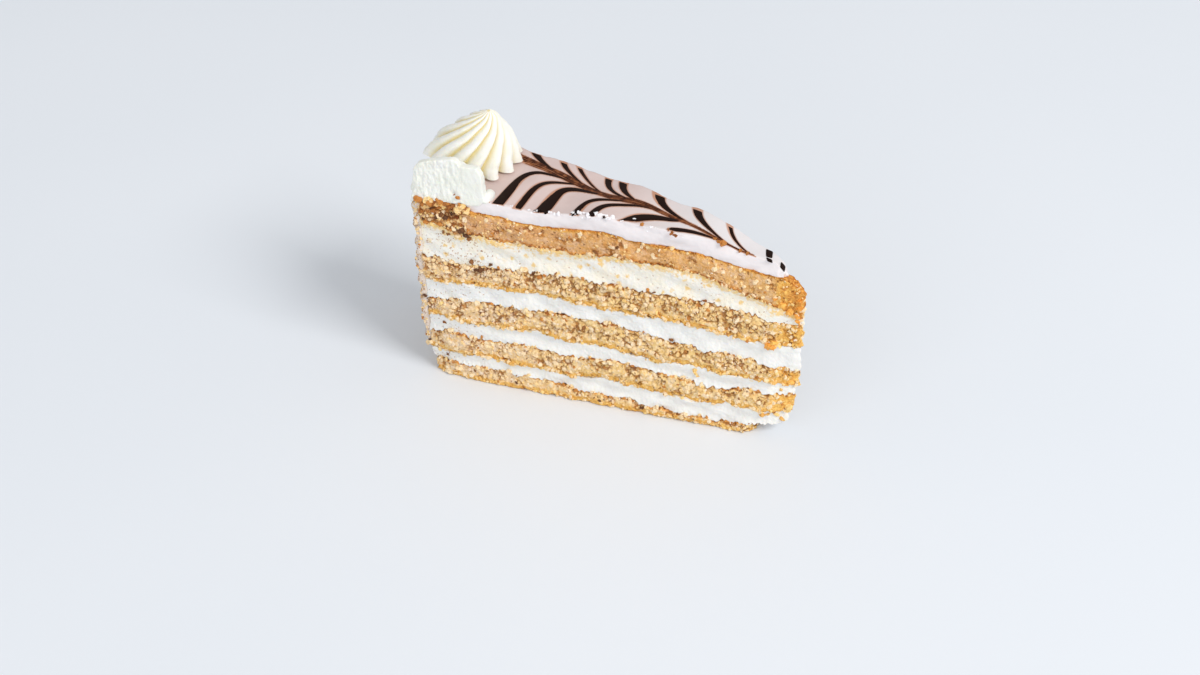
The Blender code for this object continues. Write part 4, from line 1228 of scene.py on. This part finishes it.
def spots_mesh(name):
    """Thin flat pieces of chocolate near the tip, each a rounded four-sided patch on the glaze."""
    bm = bmesh.new()
    for corners in SPOTS:
        corners = np.array(corners)
        middle = corners.mean(0)
        ring = []
        for a, b in zip(corners, np.roll(corners, -1, 0)):
            for t in np.linspace(*SPOT_SIDE):
                ring.append(a + t * (b - a))
        rings = []
        for shrink, lift in SPOT_PROFILE:
            place = middle + shrink * (np.array(ring) - middle)
            z = glaze_top(place[:, 0], place[:, 1]) + lift * SPOT_THICKNESS
            rings.append([bm.verts.new(p) for p in to_metres(place[:, 0], place[:, 1], z).tolist()])
        count = len(ring)
        for low, high in zip(rings, rings[1:]):
            for i in range(count):
                j = (i + 1) % count
                bm.faces.new((low[i], low[j], high[j], high[i]))
        bm.faces.new(rings[0])
        bm.faces.new(rings[-1])
    bmesh.ops.recalc_face_normals(bm, faces=bm.faces)
    mesh = bpy.data.meshes.new(name)
    bm.to_mesh(mesh)
    bm.free()
    note(mesh, "width", np.full(len(mesh.vertices), SPOT_WIDTH * MM))
    mesh.shade_smooth()
    return mesh


def draw_lines(tree, material):
    """The chocolate lines, swept along their paths and cut off at the edges of the glaze."""
    lines = grow("chocolate_lines", paths_mesh("chocolate_lines", line_paths()), tree, {
        "Flatness": LINE_FLATNESS, "Sides": LINE_SIDES, "Material": material,
    })
    for side, clearance in EDGE_CLEARANCE.items():
        keep_one_side(lines, (TIP_X, side * (TIP_HALF_WIDTH - clearance), 0.0), cut_normal(side))
    return lines


def build_glaze(relief, material):
    """The sugar glaze, with a note of where its top, its torn edge and its cocoa stains are."""
    points, quads, place = slab(
        "glaze", TIP_STARTS["glaze"], OUTER_RADII["glaze"],
        lambda s, y: ragged_boundary(TOP, s, y), glaze_top, SEEDS["glaze"], *GLAZE_CELLS,
    )
    s = place["s"]
    y = place["y"]
    on_top = (place["share"] == 1).astype(float)
    cocoa = np.zeros(s.shape)
    cocoa[on_top > 0] = cocoa_stain(s[on_top > 0], y[on_top > 0])
    edge = 1 - ease((half_width(s) + np.minimum(y, 0) - TORN_EDGE_INSET) / TORN_EDGE_WIDTH)
    along = ease((s - TORN_EDGE[0]) / TORN_EDGE_EASE[0])
    along = along * (1 - ease((s - TORN_EDGE[1]) / TORN_EDGE_EASE[1]))
    torn = edge * along * (y < 0) * (place["share"] > TORN_ABOVE)
    mesh = food_mesh("glaze", points, quads, {
        "wall": np.maximum(place["wall"], on_top * GLAZE_TOP_ROUGHNESS) + torn,
        "top": on_top * (1 - WHITE_EDGE * edge * (y < 0)), "cocoa": cocoa, "flakes": torn,
        "towards_tip": 1 - ease((s - PALE_END[0]) / PALE_END[1]),
    })
    return grow("glaze_looks", mesh, relief, {**GLAZE_GRAIN, "Material": material})


def build_rim_coat(relief, material):
    """The thin coat of cream and chopped nuts on the outer rim."""
    unit, quads = block(COAT_CELLS)
    turn, depth, share = unit
    radius_inside = SPONGE_RADIUS - GAP
    top = boundary(TOP, SPONGE_RADIUS - APEX_SETBACK, 0.0) - COAT_TOP_DROP
    z = COAT_BOTTOM + share * (top - COAT_BOTTOM)
    lumps = COAT_LUMPS * waves(SEEDS["coat"], turn * COAT_RADIUS * 2 * HALF_ANGLE, z, COAT_LUMP_LENGTHS)
    tuck = COAT_TUCK * (1 - np.clip((z - COAT_BOTTOM) / (COAT_TUCK_TOP - COAT_BOTTOM), 0, 1)) ** 2
    radius = radius_inside + depth * (COAT_RADIUS - radius_inside + lumps - tuck)
    inset = np.clip(RIM_TUCK * (1 - z / SPREAD_HEIGHT), 0, None)
    angle = (2 * turn - 1) * (HALF_ANGLE - inset / COAT_RADIUS)
    s, y = radius * np.cos(angle) - APEX_SETBACK, radius * np.sin(angle)
    shown = (depth > 0.4).astype(float)
    mesh = food_mesh("rim_coat", to_metres(s, y, z), quads, {
        "wall": shown, "crumbs": 0.6 * shown, "specks": 0.6 * shown, "skins": 1.3 * shown,
        "browned": 0.9 * shown, "golden": 0.2 * shown, "pale": 0.5 * shown, "matrix": 0.7 * shown,
    })
    return grow("rim_coat_looks", mesh, relief, {**COAT_GRAIN, "Material": material})


def rosette_bed():
    """Height of the plane on which the rosettes stand."""
    return float(np.max(glaze_top(np.linspace(*ROSETTE_BED), 0.0))) + GAP


def pipe_rosette(name, tree, shape, material):
    """One rosette, swept by its tree."""
    rise = np.linspace(0.0, 1.0, ROSETTE_RINGS)
    bed = rosette_bed() - ROSETTE_SINKS_IN
    height = shape["height"] + ROSETTE_SINKS_IN
    points = to_metres(np.full_like(rise, shape["s"]), np.full_like(rise, shape["y"]), bed + rise * height)
    mesh = bpy.data.meshes.new(name)
    mesh.from_pydata(points.tolist(), [(i, i + 1) for i in range(len(rise) - 1)], [])
    width = shape["radius"] * smooth_through(PROFILE_HEIGHTS, shape["radii"], rise) * MM
    turn = math.pi - shape["phase"] + TWIST * rise**TWIST_BUILD_UP
    note(mesh, "width", width)
    note(mesh, "turn", turn)
    lean_s, lean_y = shape["lean"]
    return grow(name, mesh, tree, {
        "Lobes": LOBES, "Points round": LOBES * POINTS_PER_LOBE, "Groove depth": GROOVE_DEPTH,
        "Groove sharpness": GROOVE_SHARPNESS, "Foot": bed * MM, "Height": height * MM,
        "Lean": (lean_s * MM, lean_y * MM, 0.0), "Lean build-up": LEAN_BUILD_UP,
        "Foot flare": FOOT_FLARE, "Flare height": FOOT_FLARE_HEIGHT,
        "Middle": ((TIP_X - shape["s"]) * MM, shape["y"] * MM, 0.0),
        "Unevenness": ROSETTE_UNEVENNESS * MM, "Lobe unevenness": LOBE_UNEVENNESS, "Wide side": -WIDE_SIDE,
        "Material": material,
    })


def keep_one_side(piece, point, normal):
    """Cuts a piece along a plane, drops what the normal points to and closes the cut."""
    bm = bmesh.new()
    bm.from_mesh(piece.data)
    bmesh.ops.remove_doubles(bm, verts=bm.verts, dist=1e-7)
    everything = bm.verts[:] + bm.edges[:] + bm.faces[:]
    cut = bmesh.ops.bisect_plane(
        bm, geom=everything, dist=1e-8, plane_co=Vector(point) * MM, plane_no=normal, clear_outer=True
    )
    rim = [e for e in cut["geom_cut"] if isinstance(e, bmesh.types.BMEdge)]
    bmesh.ops.edgeloop_fill(bm, edges=rim)
    bm.to_mesh(piece.data)
    bm.free()


def section_mesh():
    """The halved rosette's cut face: a slab in the cut's plane that hangs over the edge of the glaze."""
    bm = bmesh.new()
    outline = np.array(SECTION)
    rings = []
    for out in (SECTION_STANDS_OUT, -SECTION_DEPTH):
        s, z = outline.T
        lean = SECTION_LEAN * np.interp(z, SECTION_LEANS_BACK, (0, 1)) * (out > 0)
        y = -half_width(s) - out * (1 - lean)
        rings.append([bm.verts.new(p) for p in to_metres(s, y, z).tolist()])
    count = len(outline)
    for i in range(count):
        j = (i + 1) % count
        bm.faces.new((rings[0][i], rings[0][j], rings[1][j], rings[1][i]))
    bm.faces.new(rings[0])
    bm.faces.new(rings[1])
    for s, y, z, radii in CREAM_DABS:
        middle = Vector((TIP_X - s, y, z)) * MM
        for vertex in bmesh.ops.create_icosphere(bm, subdivisions=3, radius=1.0)["verts"]:
            vertex.co = middle + vertex.co * Vector(radii) * MM
    bmesh.ops.recalc_face_normals(bm, faces=bm.faces)
    mesh = bpy.data.meshes.new("section")
    bm.to_mesh(mesh)
    bm.free()
    return mesh


def one_skin(piece, extra):
    """Joins a mesh to a piece and gives both a single skin of even cells."""
    bm = bmesh.new()
    bm.from_mesh(piece.data)
    bm.from_mesh(extra)
    bm.to_mesh(piece.data)
    bm.free()
    modifier = piece.modifiers.new("skin", "REMESH")
    modifier.mode = "VOXEL"
    modifier.voxel_size = CREAM_VOXEL * MM
    shown = piece.evaluated_get(bpy.context.evaluated_depsgraph_get())
    skin = bpy.data.meshes.new_from_object(shown)
    piece.modifiers.remove(modifier)
    piece.data = skin


def note_cut(mesh):
    """Marks with a wall attribute how rough each point is: most where the knife went through."""
    facing = numbers_of(mesh.vertex_normals, "vector", 3) @ np.array(cut_normal(-1))
    s = TIP_X - numbers_of(mesh.vertices, "co", 3)[:, 0] / MM
    rough = ease((facing - ROUGH_FACING[0]) / ROUGH_FACING[1]) * ease((s - SMOOTH_TO) / SMOOTH_EASE)
    note(mesh, "wall", SMOOTH_CREAM + (1 - SMOOTH_CREAM) * rough)


def build_rosettes(tree, relief, materials):
    """The whole rosette and the one that the near cut halved, pressed against each other."""
    whole = pipe_rosette("rosette_whole_looks", tree, WHOLE_ROSETTE, materials[0])
    halved = pipe_rosette("rosette_cut_smooth", tree, CUT_ROSETTE, materials[1])
    keep_one_side(halved, (TIP_X, -TIP_HALF_WIDTH, 0.0), cut_normal(-1))
    here = Vector((TIP_X - CUT_ROSETTE["s"], CUT_ROSETTE["y"], 0.0))
    there = Vector((TIP_X - WHOLE_ROSETTE["s"], WHOLE_ROSETTE["y"], 0.0))
    across = (there - here).normalized()
    share = CUT_ROSETTE["radius"] / (CUT_ROSETTE["radius"] + WHOLE_ROSETTE["radius"])
    meeting = here.lerp(there, share)
    keep_one_side(halved, meeting, across)
    keep_one_side(whole, meeting, -across)
    one_skin(halved, section_mesh())
    note_cut(halved.data)
    rough = grow("rosette_cut_looks", halved.data, relief, {**SLICED_CREAM_GRAIN, "Material": materials[1]})
    bpy.data.objects.remove(halved)
    return whole, rough


def near_cut_place(s, z):
    """The point of the near cut face at a place, with the layer's own unevenness."""
    for index, (name, _) in enumerate(LAYERS):
        upper = float(ragged_boundary(index + 1, s, -half_width(s)))
        if z < upper or index == TOP - 1:
            break
    lower = float(ragged_boundary(index, s, -half_width(s)))
    share = min(max((z - lower) / (upper - lower), 0.0), 1.0)
    out = cut_offset(name.split("_")[0], -1, SEEDS["layer"] + index, np.array(s), np.array(z), share)
    return s, -float(half_width(s) + out), z


def points_mesh(name, places, sizes):
    """Loose points with a width each."""
    mesh = bpy.data.meshes.new(name)
    mesh.from_pydata(to_metres(*np.array(places).T).tolist(), [], [])
    note(mesh, "width", np.array(sizes) * MM)
    return mesh


def strew(tree, emitter, materials):
    """Small angular bits over the cut faces and the rim, one piece for each kind. Returns the pieces."""
    made = []
    for number, (name, where, thickly, smallest, largest, flatness) in enumerate(STREWN_BITS):
        piece = grow(name, emitter, tree, {
            **STREWN_SHAPE, "Where": where, "Bits per square metre": thickly / MM**2,
            "Smallest": smallest * MM, "Largest": largest * MM, "Flatness": flatness,
            "Seed": STREWN_SEED + number, "Material": materials[number],
        })
        piece.data.shade_flat()
        made.append(piece)
    return made


def lay(tree, kinds):
    """Larger bits at their own places, one piece for each kind. Returns the pieces."""
    made = []
    for number, (name, bits, flatness, tilt, material) in enumerate(kinds):
        places, sizes = zip(*bits)
        piece = grow(name, points_mesh(name, places, sizes), tree, {
            **LAID_SHAPE, "Flatness": flatness, "Tilt": tilt, "Seed": LAID_SEED + number,
            "Material": material,
        })
        piece.data.shade_flat()
        made.append(piece)
    return made


def on_cut(lumps):
    """Places on the near cut for a list of s, z and size, with the sizes."""
    return [(near_cut_place(s, z), size) for s, z, size in lumps]


def on_glaze(bits, lift):
    """Places on the glaze for a list of s, y and size, with the sizes. lift is a share of the size."""
    return [((s, y, float(glaze_top(s, y)) + lift * size), size) for s, y, size in bits]


def broken_edge():
    """Crumbs of the top sponge that stand where the glaze ends under the halved rosette, with sizes."""
    draw = np.random.default_rng(BROKEN_EDGE_SEED)
    lumps = []
    for s in np.linspace(*BROKEN_EDGE, BROKEN_EDGE_COUNT):
        _, y, _ = near_cut_place(s, BROKEN_EDGE_BACKING_Z)
        size = draw.uniform(*BROKEN_EDGE_SIZES)
        out = draw.uniform(*BROKEN_EDGE_OUT)
        up = draw.uniform(*BROKEN_EDGE_UP)
        lumps.append(((s, y - out, BROKEN_EDGE_Z + up), size))
    draw.shuffle(lumps)
    return lumps


def build_floor():
    """A plain pale floor."""
    bpy.ops.mesh.primitive_plane_add(size=FLOOR_SIZE, location=(0.0, 0.0, -FLOOR_DROP))
    floor = bpy.context.object
    floor.name = "floor"
    made, tree, shader, place = new_material("pale_table_top")
    cloud = add(tree, "ShaderNodeTexNoise", {"Vector": place, "Scale": 6.0, "Detail": 1.0})
    colour = blend_colours(tree, cloud, srgb("#E2E7EE"), srgb("#E8ECF2"))
    for label, value in (("Base Color", colour), ("Roughness", 0.7), ("Specular IOR Level", 0.2)):
        feed(tree, shader.inputs[label], value)
    floor.data.materials.append(made)


def build_camera():
    """The camera, at the photograph's viewing angle."""
    data = bpy.data.cameras.new("camera")
    data.lens = CAMERA_LENS
    data.sensor_width = SENSOR_WIDTH
    data.dof.use_dof = False
    camera = bpy.data.objects.new("camera", data)
    bpy.context.scene.collection.objects.link(camera)
    level = math.cos(CAMERA_ELEVATION)
    back = Vector((
        math.sin(CAMERA_AZIMUTH) * level, -math.cos(CAMERA_AZIMUTH) * level, math.sin(CAMERA_ELEVATION)
    ))
    camera.location = (Vector(CAMERA_TARGET) + back * CAMERA_DISTANCE) * MM
    camera.rotation_euler = (-back).to_track_quat("-Z", "Y").to_euler()
    bpy.context.scene.camera = camera


def add_light(name, place, size, power, colour):
    """A soft square studio light that shines on the slice."""
    data = bpy.data.lights.new(name, "AREA")
    data.size = size
    data.energy = power
    data.color = colour
    light = bpy.data.objects.new(name, data)
    light.location = place
    light.rotation_euler = (Vector(LIT_PLACE) - Vector(place)).to_track_quat("-Z", "Y").to_euler()
    bpy.context.scene.collection.objects.link(light)


def build_lights():
    """Bright, even daylight with a soft key from the upper right."""
    world = bpy.data.worlds.new("studio")
    world.use_nodes = True
    sky = world.node_tree.nodes["Background"]
    sky.inputs["Color"].default_value = SKY_COLOUR
    sky.inputs["Strength"].default_value = SKY_STRENGTH
    bpy.context.scene.world = world
    for light in LIGHTS:
        add_light(*light)
    bpy.context.scene.view_settings.view_transform = "Standard"


def main():
    """Builds the scene and hands each piece to the frame."""
    build_camera()
    build_lights()
    build_floor()
    sponge = sponge_material()
    ivory = cream_material("buttercream_with_crumbs", "#F0EDE5", "#F2EAD8", 0.85, "#F0C87A")
    white = cream_material("whipped_buttercream", "#ECEBE8", "#EFEEE9", 0.75, "#EECB80")
    coat = cream_material("nut_coat_cream", "#E0D0C2", "#E9DCD0", 0.8, "#B98A5A")
    piped = cream_material("piped_buttercream", "#F3F1E6", "#F6F5F0", 0.0, "#F4E8C8")
    sliced = cream_material("sliced_buttercream", "#ECEDE4", "#F1F1EC", 0.0, "#F4E8C8")
    skins = bit_material("dark_nut_skin", "#42200C", "#96602E", 0.7)
    browned = bit_material("browned_crumb", "#7C3E16", "#C8843C", 0.8)
    golden = bit_material("golden_crumb", "#DDA24A", "#FADA92", 0.8)
    pale = bit_material("pale_nut_chip", "#DDB68A", "#F6E4CC", 0.8)
    glazed = bit_material("syrup_soaked_crumb", "#DA8420", "#FAC664", 0.55)
    sugar = bit_material("torn_sugar_flake", "#F0ECF0", "#FAF8FA", 0.5)
    chocolate = chocolate_material()

    relief = relief_tree()
    layers = build_layers(crumb_tree(), relief, sponge, (ivory, white))
    glaze = build_glaze(relief, glaze_material())
    rim_coat = build_rim_coat(relief, coat)
    whole, halved = build_rosettes(rosette_tree(), relief, (piped, sliced))
    lines = draw_lines(sweep_tree(), chocolate)
    spots = bpy.data.objects.new("chocolate_spots", spots_mesh("chocolate_spots"))
    spots.data.materials.append(chocolate)
    bpy.context.scene.collection.objects.link(spots)

    emitter = combined("cut_faces", [*layers.values(), rim_coat, glaze], (*STREWN, "flakes"))
    bits = strew(scatter_tree(), emitter, (skins, browned, golden, pale, sponge, sugar))
    edge = broken_edge()
    bits += lay(laid_tree(), (
        ("dark_nut_pieces", on_cut(DARK_LUMPS), 0.75, 0.9, skins),
        ("orange_crumb_pieces", on_cut(ORANGE_LUMPS), 0.75, 0.9, browned),
        ("tip_crumb_pieces", on_cut(TIP_LUMPS), 0.7, 0.9, glazed),
        ("pale_crumb_pieces", on_cut(PALE_LUMPS), 0.7, 0.9, golden),
        ("broken_edge_crumbs", edge[::2], 0.8, 0.9, sponge),
        ("broken_edge_nuts", edge[1::2], 0.8, 0.9, browned),
        ("crumbs_on_cream", [((s, y, z), size) for s, y, z, size in CREAM_CRUMBS], 0.7, 0.5, browned),
        ("crumbs_on_glaze", on_glaze(TOP_CRUMBS, 0.1), 0.7, 0.5, browned),
        ("sugar_flakes", on_glaze(SUGAR_FLAKES, -0.05), 0.55, 0.6, sugar),
        ("chocolate_bits", on_glaze(CHOCOLATE_BITS, 0.05), 0.3, 0.3, chocolate),
    ))

    for piece, node, slot in (
        *((layer, name, name.split("_")[0]) for name, layer in layers.items()),
        (glaze, "glaze", "glaze"), (rim_coat, "rim_coat", "coat"), (whole, "rosette_whole", "rosette"),
        (halved, "rosette_cut", "rosette"), (lines, None, "glaze"), (spots, None, "glaze"),
        *((bit, None, "sponge") for bit in bits),
    ):
        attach(piece, "root")
        if node:
            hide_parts(node)


main()
